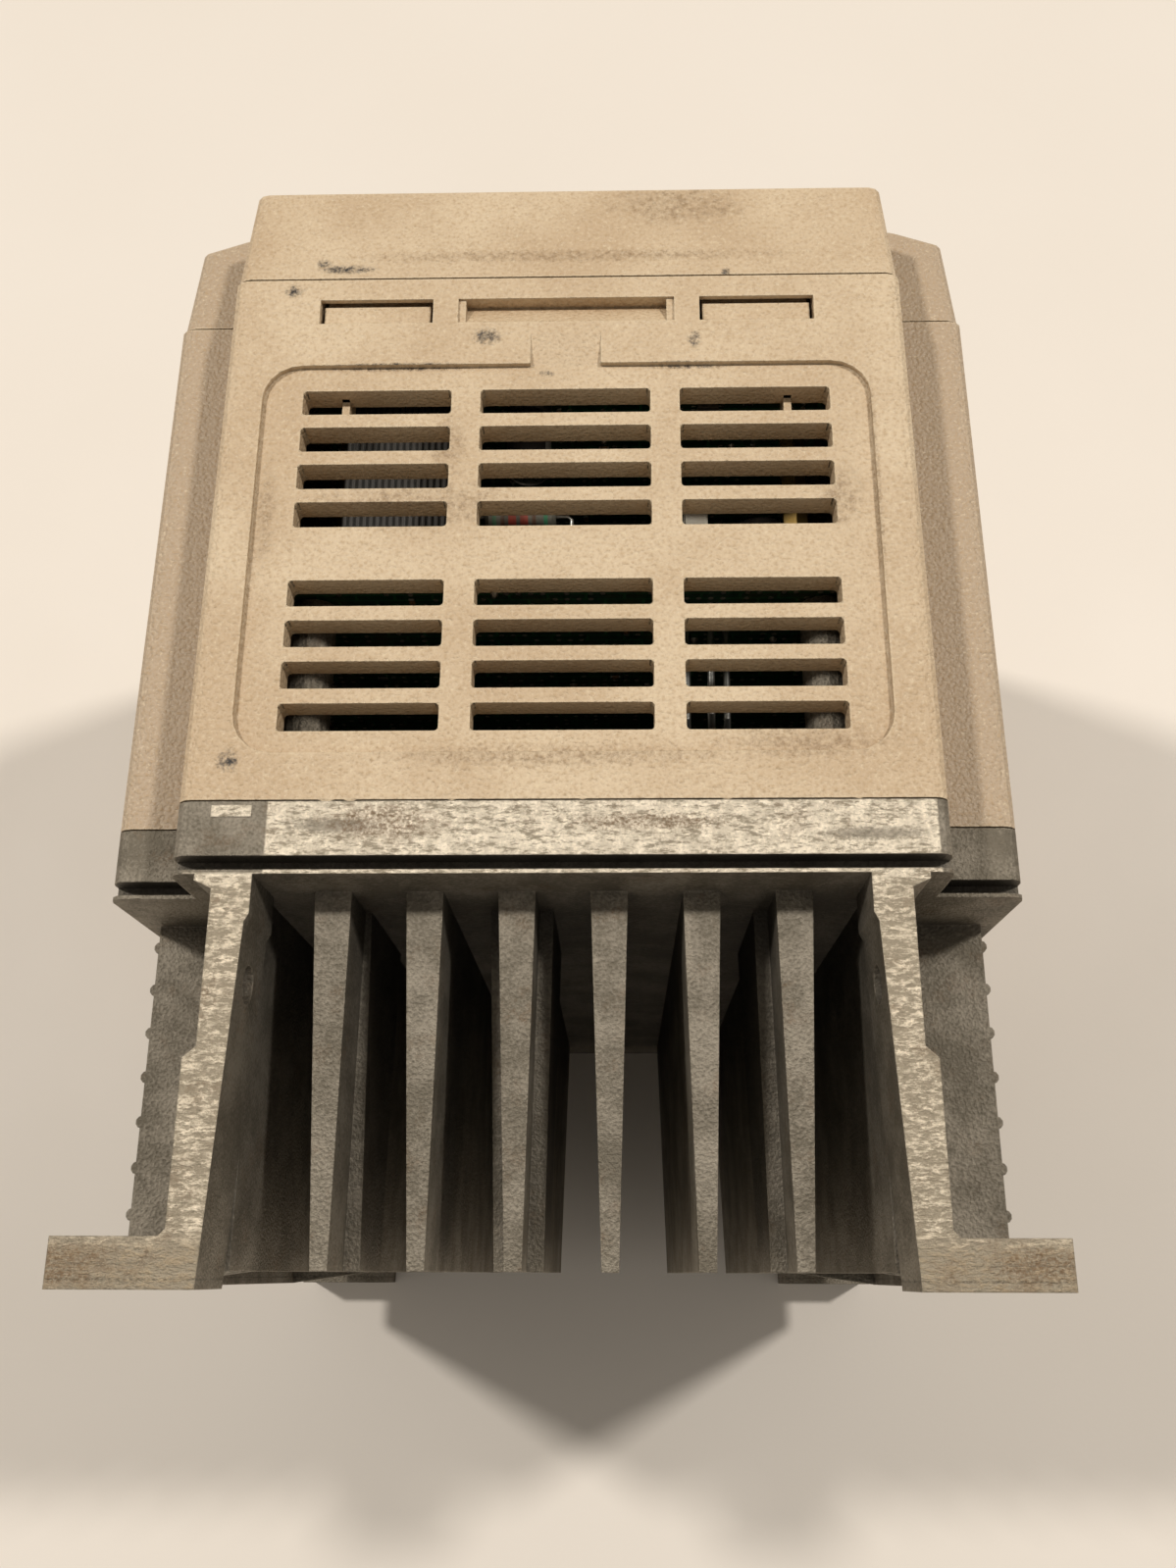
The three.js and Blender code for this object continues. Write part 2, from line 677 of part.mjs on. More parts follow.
function makeHousing() {
  const rear = jointDepth + partGap;
  const front = sideSeamDepth - seamGap / 2;
  const past = 1;
  const outerRings = [
    { depth: rear, inset: 0, endInset: 0, sideEndInset: 0 },
    { depth: front, inset: housingDraft, endInset: 0, sideEndInset: 0 },
  ];
  const innerRings = [
    { depth: rear - past, inset: 0, endInset: 0, sideEndInset: 0 },
    { depth: front + past, inset: housingDraft, endInset: 0, sideEndInset: 0 },
  ];
  let housing = solidOf(ringedBody(0, 0, blockCornerRadius, outerRings));
  housing = housing.subtract(solidOf(ringedBody(sideWall, endWall, blockCornerRadius / 2, innerRings)));
  const blockFront = blockHalfWidth - housingDraft;
  housing = housing.subtract(solidOf(block(-blockFront, blockFront, seamDepth - seamGap / 2,
    front + past, -past, bodyHeight + past)));

  // Inner ribs that stiffen the louvred wall, kept clear of the boards.
  for (const side of [1, -1]) {
    const x = side * innerRibOffset;
    housing = housing.add(solidOf(block(x - innerRibThickness / 2, x + innerRibThickness / 2,
      panelFront - groupFrontMargin - louvreSlot, panelFront + innerRibPast,
      bodyHeight - endWall - innerRibHeight, bodyHeight - endWall + past)));
  }

  const top = bodyHeight;
  const cuts = [];
  const recess = roundedOutline(-panelHalfWidth, panelHalfWidth, panelRear, panelFront,
    panelCornerRadius, 5);
  cuts.push(prismAlongHeight(recess.reverse(), top - panelRecess, top + past));
  for (const [depth0, depth1] of louvreRows()) {
    for (const [x0, x1] of louvreColumns()) {
      cuts.push(block(x0, x1, depth0, depth1, top - endWall - past, top + past));
    }
  }
  cuts.push(prismAlongWidth([
    [panelFront - past, top + past],
    [panelFront - past, top - panelRecess],
    [panelFront, top - panelRecess],
    [panelFront + rampLength, top],
    [panelFront + rampLength, top + past],
  ], -rampHalfWidth, rampHalfWidth));
  cuts.push(block(-pocketHalfWidth, pocketHalfWidth, pocketRear, pocketFront,
    top - pocketShallowEnd, top + past));
  cuts.push(prismAlongWidth([
    [pocketRear, top + past],
    [pocketRear, top - pocketShallowEnd],
    [pocketFront, top - pocketDeepEnd],
    [pocketFront, top + past],
  ], -pocketHalfWidth + pocketRampInset, pocketHalfWidth - pocketRampInset));
  // Release windows, with a channel under the wall that the cover's latch slides out along.
  for (const [x0, x1] of [[windowInner, windowOuter], [-windowOuter, -windowInner]]) {
    cuts.push(block(x0, x1, pocketRear, pocketFront, top - endWall - past, top + past));
    cuts.push(block(x0, x1, pocketRear, seamDepth + past, top - endWall - past, top - windowRoof));
    cuts.push(block(x0, x1, pocketRear, pocketFront, -past, endWall + past));
    cuts.push(block(x0, x1, pocketRear, seamDepth + past, windowRoof, endWall + past));
  }
  // Cable entry in the lower end, with a land for the plate.
  const entryRear = jointDepth + entryFromJoint;
  cuts.push(block(-entryHalfWidth, entryHalfWidth, entryRear, entryRear + entryLength,
    -past, entryPlateThickness + partGap));
  cuts.push(block(-entryHalfWidth + gasketWidth, entryHalfWidth - gasketWidth,
    entryRear + gasketWidth, entryRear + entryLength - gasketWidth, -past, endWall + past));
  for (const cut of cuts) {
    housing = housing.subtract(solidOf(cut));
  }
  return geometryOf(housing);
}
addPart('housing', makeHousing(), creamPlastic);

// ---------------------------------------------------------------- cable entry
const entryMidDepth = jointDepth + entryFromJoint + entryLength / 2;

function makeEntryPlate() {
  const rear = jointDepth + entryFromJoint + partGap;
  let plate = solidOf(block(-entryHalfWidth + partGap, entryHalfWidth - partGap,
    rear, rear + entryLength - 2 * partGap, 0, entryPlateThickness));
  for (let i = 0; i < grommetCount; i += 1) {
    const x = (i - (grommetCount - 1) / 2) * grommetPitch;
    plate = plate.subtract(solidOf(rodAlongHeight(x, entryMidDepth, grommetRadius,
      -1, entryPlateThickness + 1, 24)));
  }
  return geometryOf(plate);
}
addPart('cable_entry_plate', makeEntryPlate(), creamPlastic);

// A blind grommet: a neck through the plate, closed by a membrane, with a flange above.
function makeGrommet() {
  const neck = grommetRadius - partGap;
  const flangeLow = entryPlateThickness + partGap;
  const flangeHigh = flangeLow + grommetFlangeThickness;
  const bore = neck - grommetWall;
  const membraneTop = membraneHeight + membraneThickness;
  const profile = [
    [0, membraneHeight],
    [bore, membraneHeight],
    [bore, grommetFootRise],
    [neck, grommetFootRise],
    [neck, flangeLow],
    [neck + grommetFlange, flangeLow],
    [neck + grommetFlange, flangeHigh],
    [bore, flangeHigh],
    [bore, membraneTop],
    [0, membraneTop],
  ];
  const geometry = new THREE.LatheGeometry(profile.map(([r, z]) => new THREE.Vector2(r, z)), 24);
  geometry.rotateX(Math.PI / 2);
  return geometryOf(solidOf(geometry));
}
for (let i = 0; i < grommetCount; i += 1) {
  const grommet = addPart(`grommet_${i + 1}`, makeGrommet(), blackRubber);
  grommet.position.set((i - (grommetCount - 1) / 2) * grommetPitch, wallFace - entryMidDepth, 0);
}

// ---------------------------------------------------------------- parts that sit on the heat sink
const onSink = jointDepth + partGap;
const powerModule = {
  halfWidth: 53,
  height: 46,
  thickness: 17,
  flange: 7.65,
  z: midHeight + powerModuleAboveMiddle,
};
const rectifier = {
  halfWidth: 31,
  height: 28,
  thickness: 20,
  flange: 9,
  z: midHeight - rectifierBelowMiddle,
};

function makeScrewedModule(module) {
  const low = module.z - module.height / 2;
  const high = module.z + module.height / 2;
  const core = module.halfWidth - moduleFlangeWidth;
  const body = solidOf(block(-core, core, onSink, onSink + module.thickness, low, high));
  const base = solidOf(block(-module.halfWidth, module.halfWidth, onSink, onSink + module.flange,
    low, high));
  return geometryOf(body.add(base));
}
addPart('power_module', makeScrewedModule(powerModule), moduleGrey);
addPart('rectifier_module', makeScrewedModule(rectifier), moduleGrey);

for (const [label, module] of [['power_module', powerModule], ['rectifier', rectifier]]) {
  for (const [place, side] of [['left', -1], ['right', 1]]) {
    const depth = onSink + module.flange + partGap;
    const geometry = rodAlongDepth(side * (module.halfWidth - moduleScrewInset), module.z,
      moduleScrewRadius, depth, depth + moduleScrewHeight, 16);
    addPart(`${label}_screw_${place}`, geometry, zincSteel);
  }
}

// ---------------------------------------------------------------- power board
const powerBoardLow = powerBoardEndMargin;
const powerBoardHigh = bodyHeight - powerBoardEndMargin;
addPart('power_board', block(-powerBoardHalfWidth, powerBoardHalfWidth,
  powerBoardDepth, powerBoardFront, powerBoardLow, powerBoardHigh), boardGreen);

const boardScrewPlaces = [
  ['upper_left', -1, bodyHeight - postFromEnd],
  ['upper_right', 1, bodyHeight - postFromEnd],
  ['lower_left', -1, postFromEnd],
  ['lower_right', 1, postFromEnd],
];
for (const [place, side, z] of boardScrewPlaces) {
  const depth = powerBoardFront + partGap;
  addPart(`board_screw_${place}`, rodAlongDepth(side * postSpread, z, boardScrewRadius,
    depth, depth + boardScrewHeight, 12), zincSteel);
}

const onBoard = powerBoardFront + partGap;

// A can standing on the board, with a rolled shoulder.
function makeCan(radius, length) {
  const shoulder = radius * 0.12;
  const profile = [
    [0, 0],
    [radius * 0.94, 0],
    [radius, shoulder],
    [radius, length - shoulder],
    [radius * 0.9, length],
    [0, length],
  ];
  const geometry = new THREE.LatheGeometry(profile.map(([r, y]) => new THREE.Vector2(r, y)), 24);
  geometry.rotateX(Math.PI);
  return geometryOf(solidOf(geometry));
}
const sensorZ = terminalFromEnd + sensorAboveTerminal;
const busCapacitorLength = boardSpace - busCapacitorHeadroom;
const busCapacitorZ = sensorZ + busCapacitorAboveSensor;
const smoothingPlace = smoothingInset - powerBoardHalfWidth;
const cans = [
  ['bus_capacitor_left', busCapacitorLeft, busCapacitorZ, busCapacitorRadius, busCapacitorLength],
  ['bus_capacitor_right', busCapacitorRight, busCapacitorZ, busCapacitorRadius, busCapacitorLength],
  ['snubber_capacitor', snubberPlace, powerBoardHigh - snubberBelowBoardEnd, snubberRadius, snubberLength],
  ['filter_capacitor', filterPlace, powerBoardHigh - filterBelowBoardEnd, filterRadius, filterLength],
  ['smoothing_capacitor', smoothingPlace, powerBoardHigh - smoothingBelowBoardEnd,
    smoothingRadius, smoothingLength],
];
for (const [name, x, z, radius, length] of cans) {
  const can = addPart(name, makeCan(radius, length), sleeveBlack);
  can.position.set(x, wallFace - onBoard, z);
}

const transformerSize = {
  x: powerBoardHalfWidth - transformerInset,
  z: busCapacitorZ + transformerAboveCapacitor,
  halfWidth: transformerHalfWidth,
  height: transformerHeight,
  thickness: transformerThickness,
};
function makeTransformer({ x, z, halfWidth, height, thickness }) {
  const coreThickness = thickness * 0.7;
  const inset = (thickness - coreThickness) / 2;
  const core = solidOf(block(x - halfWidth, x + halfWidth, onBoard + inset,
    onBoard + inset + coreThickness, z - height / 2, z + height / 2));
  const coil = solidOf(block(x - halfWidth * 0.7, x + halfWidth * 0.7, onBoard,
    onBoard + thickness, z - height * 0.3, z + height * 0.3));
  return geometryOf(core.add(coil));
}
addPart('transformer', makeTransformer(transformerSize), tapeYellow);

const relayZ = busCapacitorZ + relayAboveCapacitor;
const boxesOnBoard = [
  ['charge_relay', relayInset - powerBoardHalfWidth, relayZ,
    relayHalfWidth, relayHeight, relayThickness, relayWhite],
  ['current_sensor_left', sensorInsetLeft - powerBoardHalfWidth, sensorZ,
    sensorHalfWidth, sensorHeight, sensorThickness, darkPlastic],
  ['current_sensor_right', powerBoardHalfWidth - sensorInsetRight, sensorZ,
    sensorHalfWidth, sensorHeight, sensorThickness, darkPlastic],
];
for (const [name, x, z, halfWidth, height, thickness, material] of boxesOnBoard) {
  addPart(name, block(x - halfWidth, x + halfWidth, onBoard, onBoard + thickness,
    z - height / 2, z + height / 2), material);
}

// Wire-ended resistor laid across the board, with a bulged body.
function makeResistor(length, radius) {
  const half = length / 2;
  const profile = [
    [0, -half - resistorLeadLength],
    [resistorLead, -half - resistorLeadLength],
    [resistorLead, -half],
    [radius, -half],
    [radius, -half * 0.6],
    [radius * 0.86, -half * 0.55],
    [radius * 0.86, half * 0.55],
    [radius, half * 0.6],
    [radius, half],
    [resistorLead, half],
    [resistorLead, half + resistorLeadLength],
    [0, half + resistorLeadLength],
  ];
  const geometry = new THREE.LatheGeometry(profile.map(([r, y]) => new THREE.Vector2(r, y)), 16);
  geometry.rotateZ(Math.PI / 2);
  return geometryOf(solidOf(geometry));
}
const resistor = addPart('charge_resistor', makeResistor(resistorLength, resistorRadius), resistorRed);
resistor.position.set(resistorPlace, wallFace - onBoard - resistorRadius - resistorLift,
  powerBoardHigh - resistorBelowBoardEnd);

// ---------------------------------------------------------------- main terminals
const terminal = {
  halfWidth: powerBoardHalfWidth - terminalInset,
  z: terminalFromEnd,
  height: terminalHeight,
  thickness: terminalThickness,
  floor: terminalFloorRise,
  rearLip: terminalRearLip,
  count: terminalCount,
  wall: terminalWall,
};
const terminalPitch = (2 * terminal.halfWidth - terminal.wall) / terminal.count;
const terminalFloor = onBoard + terminal.floor;

function terminalX(i) {
  return -terminal.halfWidth + terminal.wall / 2 + (i + 0.5) * terminalPitch;
}

function makeTerminalBlock() {
  const low = terminal.z - terminal.height / 2;
  const high = terminal.z + terminal.height / 2;
  let body = solidOf(block(-terminal.halfWidth, terminal.halfWidth, onBoard + terminalLift,
    onBoard + terminal.thickness, low + terminal.rearLip, high));
  for (let i = 0; i < terminal.count; i += 1) {
    const half = (terminalPitch - terminal.wall) / 2;
    body = body.subtract(solidOf(block(terminalX(i) - half, terminalX(i) + half,
      terminalFloor, onBoard + terminal.thickness + 1, low - 1, high - terminal.wall)));
  }
  return geometryOf(body);
}
addPart('main_terminal_block', makeTerminalBlock(), terminalBlack);

function makeTerminalScrew() {
  const head = 4.2;
  const headHeight = 3.2;
  const slot = 1.1;
  const geometry = new THREE.CylinderGeometry(head, head, headHeight, 16);
  geometry.translate(0, -headHeight / 2, 0);
  const cross = new THREE.BoxGeometry(head * 1.3, 1.6, slot);
  cross.translate(0, -headHeight, 0);
  const crossTurned = new THREE.BoxGeometry(slot, 1.6, head * 1.3);
  crossTurned.translate(0, -headHeight, 0);
  return geometryOf(solidOf(geometry).subtract(solidOf(cross)).subtract(solidOf(crossTurned)));
}
for (let i = 0; i < terminal.count; i += 1) {
  const screw = addPart(`terminal_screw_${i + 1}`, makeTerminalScrew(), zincSteel);
  screw.position.set(terminalX(i), wallFace - terminalFloor - partGap, terminal.z);
}

// ---------------------------------------------------------------- control board
const spacerPlaces = [
  ['upper_left', -spacerSpread, controlBoardHigh - spacerFromEnd],
  ['upper_right', spacerSpread, controlBoardHigh - spacerFromEnd],
  ['lower_left', -spacerSpread, controlBoardLow + lowerSpacerFromEnd],
  ['lower_right', spacerSpread, controlBoardLow + lowerSpacerFromEnd],
];
for (const [place, x, z] of spacerPlaces) {
  addPart(`board_spacer_${place}`, rodAlongDepth(x, z, spacerRadius,
    powerBoardFront + partGap, controlBoardDepth - partGap, 6), brass);
}
addPart('control_board', block(-controlBoardHalfWidth, controlBoardHalfWidth,
  controlBoardDepth, controlBoardFront, controlBoardLow, controlBoardHigh), boardGreen);

const onControl = controlBoardFront + partGap;
const controlTerminal = {
  halfWidth: controlBoardHalfWidth - controlTerminalInset,
  low: controlBoardLow + controlTerminalFromBoardEnd,
  height: controlTerminalHeight,
  thickness: controlTerminalThickness,
};
function makeControlTerminal() {
  const { halfWidth, low, height, thickness } = controlTerminal;
  const ways = controlTerminalWays;
  let body = solidOf(block(-halfWidth, halfWidth, onControl, onControl + thickness,
    low, low + height));
  const pitch = 2 * halfWidth / ways;
  for (let i = 0; i < ways; i += 1) {
    const x = -halfWidth + (i + 0.5) * pitch;
    body = body.subtract(solidOf(rodAlongDepth(x, low + height * 0.6, controlScrewRadius,
      onControl + thickness - controlScrewDepth, onControl + thickness + 1, 8)));
  }
  return geometryOf(body);
}
addPart('control_terminal_block', makeControlTerminal(), terminalGreen);

// Slide switch that selects the input logic, with a lever that travels across it.
const logicSwitch = {
  x: controlBoardHalfWidth - logicSwitchInset,
  z: controlBoardLow + logicSwitchFromBoardEnd,
  halfWidth: 5,
  height: 4.4,
  thickness: 4,
  wellFloor: 1.6,
  wellHalfHeight: 1.19,
  leverWidth: 2.2,
  leverHalfHeight: 0.8,
  leverProud: 1.8,
};
const leverTravel = 3;
function makeSwitchBody() {
  const { x, z, halfWidth, height, thickness, wellFloor, wellHalfHeight } = logicSwitch;
  const body = solidOf(block(x - halfWidth, x + halfWidth, onControl, onControl + thickness,
    z - height / 2, z + height / 2));
  const half = (logicSwitch.leverWidth + leverTravel) / 2 + partGap;
  return geometryOf(body.subtract(solidOf(block(x - half, x + half, onControl + wellFloor,
    onControl + thickness + 1, z - wellHalfHeight, z + wellHalfHeight))));
}
addPart('logic_switch_body', makeSwitchBody(), darkPlastic);
const leverLeft = logicSwitch.x - (logicSwitch.leverWidth + leverTravel) / 2;
addPart('logic_switch_lever', block(leverLeft, leverLeft + logicSwitch.leverWidth,
  onControl + logicSwitch.wellFloor + partGap,
  onControl + logicSwitch.thickness + logicSwitch.leverProud,
  logicSwitch.z - logicSwitch.leverHalfHeight, logicSwitch.z + logicSwitch.leverHalfHeight), relayWhite);

// Flat cable from the power board to the control board, folded once.
const ribbonOuter = postSpread - ribbonFromPost;
const ribbonHigh = controlBoardHigh + ribbonAboveBoard;
const ribbonRear = onBoard + ribbonReach;
const ribbonFront = controlBoardFront + ribbonReach;
addPart('ribbon_cable', prismAlongWidth([
  [onBoard, ribbonHigh - ribbonTail],
  [ribbonRear, ribbonHigh - ribbonTail],
  [ribbonRear, ribbonHigh - ribbonThickness],
  [ribbonFront, ribbonHigh - ribbonThickness],
  [ribbonFront, ribbonHigh - ribbonTail],
  [ribbonFront + ribbonThickness, ribbonHigh - ribbonTail],
  [ribbonFront + ribbonThickness, ribbonHigh],
  [ribbonRear - ribbonThickness, ribbonHigh],
  [ribbonRear - ribbonThickness, ribbonHigh - ribbonLowerTail],
  [onBoard, ribbonHigh - ribbonLowerTail],
].reverse(), ribbonOuter - ribbonWidth, ribbonOuter), ribbonGrey);

// ---------------------------------------------------------------- front cover and terminal cover
const keypadOpening = keypadHalfWidth + keypadClearance;

function makeCoverShell() {
  const rear = seamDepth + seamGap / 2;
  const edgeDepth = coverFaceDepth - coverEdgeRise;
  const past = 1;
  const rearInset = housingDraft + coverRearInset;
  const rings = [
    { depth: rear, inset: rearInset, endInset: coverEndGap, sideEndInset: coverEndGap },
    {
      depth: edgeDepth,
      inset: housingDraft + coverDraft,
      endInset: coverEdgeEndInset,
      sideEndInset: coverEdgeEndInset,
    },
    {
      depth: coverFaceDepth,
      inset: housingDraft + coverDraft + coverEdgeInset,
      endInset: coverEdgeEndInset + coverEdgeDrop,
      sideEndInset: coverEdgeEndInset + sideEdgeDrop,
    },
  ];
  const innerRings = [
    { ...rings[0], depth: rear - past },
    { ...rings[1], depth: edgeDepth - coverWall * 0.4 },
    { ...rings[2], depth: coverFaceDepth - coverWall },
  ];
  const outer = solidOf(ringedBody(0, 0, blockCornerRadius, rings));
  const inner = solidOf(ringedBody(coverWall, coverWall, blockCornerRadius / 2, innerRings));
  let shell = outer.subtract(inner);
  const blockRear = blockHalfWidth - rearInset + 0.05;
  for (const side of [1, -1]) {
    const x0 = Math.min(side * blockRear, side * bodyWidth);
    const x1 = Math.max(side * blockRear, side * bodyWidth);
    shell = shell.subtract(solidOf(block(x0, x1, rear - past, sideSeamDepth + seamGap / 2,
      -past, bodyHeight + past)));
  }
  return shell;
}

// Two tongues just inside an end wall, each with a pad that rises into its window. The faces
// are heights above the lower end; outward is +1 at the louvred end and -1 at the lower end.
function tongues(innerFace, outward) {
  const depth0 = seamDepth - tongueReach;
  const depth1 = coverFaceDepth - coverEdgeRise;
  const outerFace = innerFace + outward * tongueThickness;
  const padFace = innerFace + outward * (tongueThickness + tongueClearance + endWall - latchRecess);
  const x0 = windowInner + latchClearance;
  const x1 = windowOuter - latchClearance;
  const pieces = [];
  for (const [a, b] of [[x0, x1], [-x1, -x0]]) {
    pieces.push(solidOf(block(a, b, depth0, depth1,
      Math.min(innerFace, outerFace), Math.max(innerFace, outerFace))));
    pieces.push(solidOf(block(a, b, pocketRear + latchClearance, pocketFront - latchClearance,
      Math.min(innerFace, padFace), Math.max(innerFace, padFace))));
  }
  return pieces;
}

function makeFrontCover() {
  const shell = makeCoverShell();
  const past = 1;
  const below = block(-bodyWidth, bodyWidth, seamDepth - past, coverFaceDepth + past,
    -past, coverSplitHeight + seamGap / 2);
  let cover = shell.subtract(solidOf(below));
  const edge = block(-bodyHalfWidth, bodyHalfWidth, sideSeamDepth + seamGap / 2,
    coverFaceDepth - coverWall / 2, coverSplitHeight + seamGap / 2, coverSplitHeight + coverWall);
  const outerRings = [
    {
      depth: sideSeamDepth + seamGap / 2,
      inset: housingDraft + splitEdgeRearInset,
      endInset: 1,
      sideEndInset: 1,
    },
    {
      depth: coverFaceDepth - coverWall / 2,
      inset: housingDraft + coverDraft + splitEdgeFrontInset,
      endInset: 1,
      sideEndInset: 1,
    },
  ];
  const within = solidOf(ringedBody(0, 0, blockCornerRadius, outerRings));
  cover = cover.add(solidOf(edge).intersect(within));
  const tongueHigh = bodyHeight - endWall - tongueClearance;
  for (const tongue of tongues(tongueHigh - tongueThickness, 1)) {
    cover = cover.add(tongue);
  }
  cover = cover.subtract(solidOf(block(-keypadOpening, keypadOpening,
    coverFaceDepth - coverWall - past, coverFaceDepth + past,
    keypadLow - keypadClearance, keypadHigh + keypadClearance)));
  return geometryOf(cover);
}
addPart('front_cover', makeFrontCover(), creamPlastic);

function makeTerminalCover() {
  const past = 1;
  const above = block(-bodyWidth, bodyWidth, seamDepth - past, coverFaceDepth + past,
    coverSplitHeight - seamGap / 2, bodyHeight + past);
  let cover = makeCoverShell().subtract(solidOf(above));
  const tongueLow = endWall + tongueClearance;
  for (const tongue of tongues(tongueLow + tongueThickness, -1)) {
    cover = cover.add(tongue);
  }
  // Grip grooves for the fingers that pull the cover off.
  for (let i = 0; i < gripGrooveCount; i += 1) {
    const high = coverSplitHeight - gripBelowSplit - i * gripGroovePitch;
    cover = cover.subtract(solidOf(block(-gripHalfLength, gripHalfLength,
      coverFaceDepth - gripGrooveDepth, coverFaceDepth + past, high - gripGrooveWidth, high)));
  }
  return geometryOf(cover);
}
addPart('terminal_cover', makeTerminalCover(), creamPlastic);

// ---------------------------------------------------------------- keypad
const displayHigh = keypadHigh - displayEndMargin;
const displayLow = displayHigh - displayHeight;
const firstKeyRow = displayLow - keysBelowDisplay;
const keyLayout = [
  ['key_program', -1, 0, keyGrey],
  ['key_up', 0, 0, keyGrey],
  ['key_run', 1, 0, keyGreen],
  ['key_reset', -1, 1, keyGrey],
  ['key_shift', 0, 1, keyGrey],
  ['key_stop', 1, 1, keyRed],
  ['key_function', -1, 2, keyGrey],
  ['key_down', 0, 2, keyGrey],
];

function keyCentre(column, row) {
  return [column * keyColumnPitch, firstKeyRow - row * keyRowPitch];
}

function makeKeypad() {
  const rear = keypadFaceDepth - keypadDepth;
  const outline = roundedOutline(-keypadHalfWidth, keypadHalfWidth, keypadLow, keypadHigh,
    keypadCorner);
  let keypad = solidOf(prismAlongDepth(outline, rear, keypadFaceDepth));
  keypad = keypad.subtract(solidOf(block(-displayHalfWidth, displayHalfWidth,
    keypadFaceDepth - displayRecess, keypadFaceDepth + 1, displayLow, displayHigh)));
  for (const [, column, row] of keyLayout) {
    const [x, z] = keyCentre(column, row);
    const w = keyWidth / 2 + keyClearance;
    const h = keyHeight / 2 + keyClearance;
    const pocket = roundedOutline(x - w, x + w, z - h, z + h, keyCorner + keyClearance, 2);
    keypad = keypad.subtract(solidOf(prismAlongDepth(pocket,
      keypadFaceDepth - keyPocketDepth, keypadFaceDepth + 1)));
  }
  // Shallow channel down the rear for the plug.
  keypad = keypad.subtract(solidOf(block(-plugHalfWidth, plugHalfWidth, rear - 1, rear + plugDepth,
    keypadLow + plugFromEnd, keypadLow + plugFromEnd + plugLength)));
  return geometryOf(keypad);
}
addPart('keypad', makeKeypad(), darkPlastic);

const paneFront = keypadFaceDepth - displayRecess + windowPaneThickness + partGap;
addPart('display_window', block(-displayHalfWidth + partGap, displayHalfWidth - partGap,
  paneFront - windowPaneThickness, paneFront, displayLow + partGap, displayHigh - partGap),
smokedWindow);

for (const [name, column, row, material] of keyLayout) {
  const [x, z] = keyCentre(column, row);
  const outline = roundedOutline(x - keyWidth / 2, x + keyWidth / 2,
    z - keyHeight / 2, z + keyHeight / 2, keyCorner, 2);
  const rear = keypadFaceDepth - keyPocketDepth + keyTravel + partGap;
  addPart(name, prismAlongDepth(outline, rear, keypadFaceDepth + keyProud), material);
}

export default drive;
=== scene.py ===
"""Looks of a motor drive for a door operator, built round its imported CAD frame.

The drive stands on its lower end. Its front covers face -Y, its wall feet face +Y, and its
louvred end is up. Lengths are in metres unless a name ends in _mm.
"""

import logging
import math
import random
from dataclasses import dataclass
from enum import Enum
from typing import Callable, Dict, Iterable, List, Optional, Sequence, Tuple, Union

import bmesh
import bpy
from mathutils import Matrix, Vector


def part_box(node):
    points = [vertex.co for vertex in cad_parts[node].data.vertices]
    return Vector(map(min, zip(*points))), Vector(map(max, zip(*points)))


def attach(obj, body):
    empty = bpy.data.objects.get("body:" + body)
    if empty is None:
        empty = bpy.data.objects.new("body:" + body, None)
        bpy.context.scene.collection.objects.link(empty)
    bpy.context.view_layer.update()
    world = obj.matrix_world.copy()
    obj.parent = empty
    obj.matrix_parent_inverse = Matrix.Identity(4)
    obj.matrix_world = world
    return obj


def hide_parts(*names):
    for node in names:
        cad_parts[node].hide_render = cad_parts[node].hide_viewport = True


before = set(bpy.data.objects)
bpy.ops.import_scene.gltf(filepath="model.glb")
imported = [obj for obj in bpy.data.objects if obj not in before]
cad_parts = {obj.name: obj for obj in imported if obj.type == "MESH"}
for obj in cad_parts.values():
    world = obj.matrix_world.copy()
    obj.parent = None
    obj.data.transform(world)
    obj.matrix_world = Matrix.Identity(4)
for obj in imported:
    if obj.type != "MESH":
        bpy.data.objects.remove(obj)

LOG = logging.getLogger("drive")
MM = 0.001
BODY = "drive"
UP = Vector((0.0, 0.0, 1.0))
FRONT = Vector((0.0, -1.0, 0.0))

Colour = Tuple[float, float, float, float]
Point = Tuple[float, float, float]
Outline = Sequence[Tuple[float, float]]


def srgb(code: str) -> Colour:
    """Turns an sRGB hex code into a linear colour.

    Args:
        code: Six hex digits, such as "d8c3a0".

    Returns:
        Linear red, green and blue with an alpha of one.
    """
    parts = [int(code[i : i + 2], 16) / 255.0 for i in (0, 2, 4)]
    linear = [c / 12.92 if c <= 0.04045 else ((c + 0.055) / 1.055) ** 2.4 for c in parts]
    return (linear[0], linear[1], linear[2], 1.0)


def metres(place_mm: Point) -> Vector:
    """A point given in millimetres, in metres."""
    return Vector([value * MM for value in place_mm])


# ------------------------------------------------------------------ finishes


def outlet(value: object) -> object:
    """The main output of a node; a socket or a plain value comes back as it is."""
    if isinstance(value, bpy.types.Node):
        return value.outputs[2 if value.bl_idname == "ShaderNodeMix" else 0]
    return value


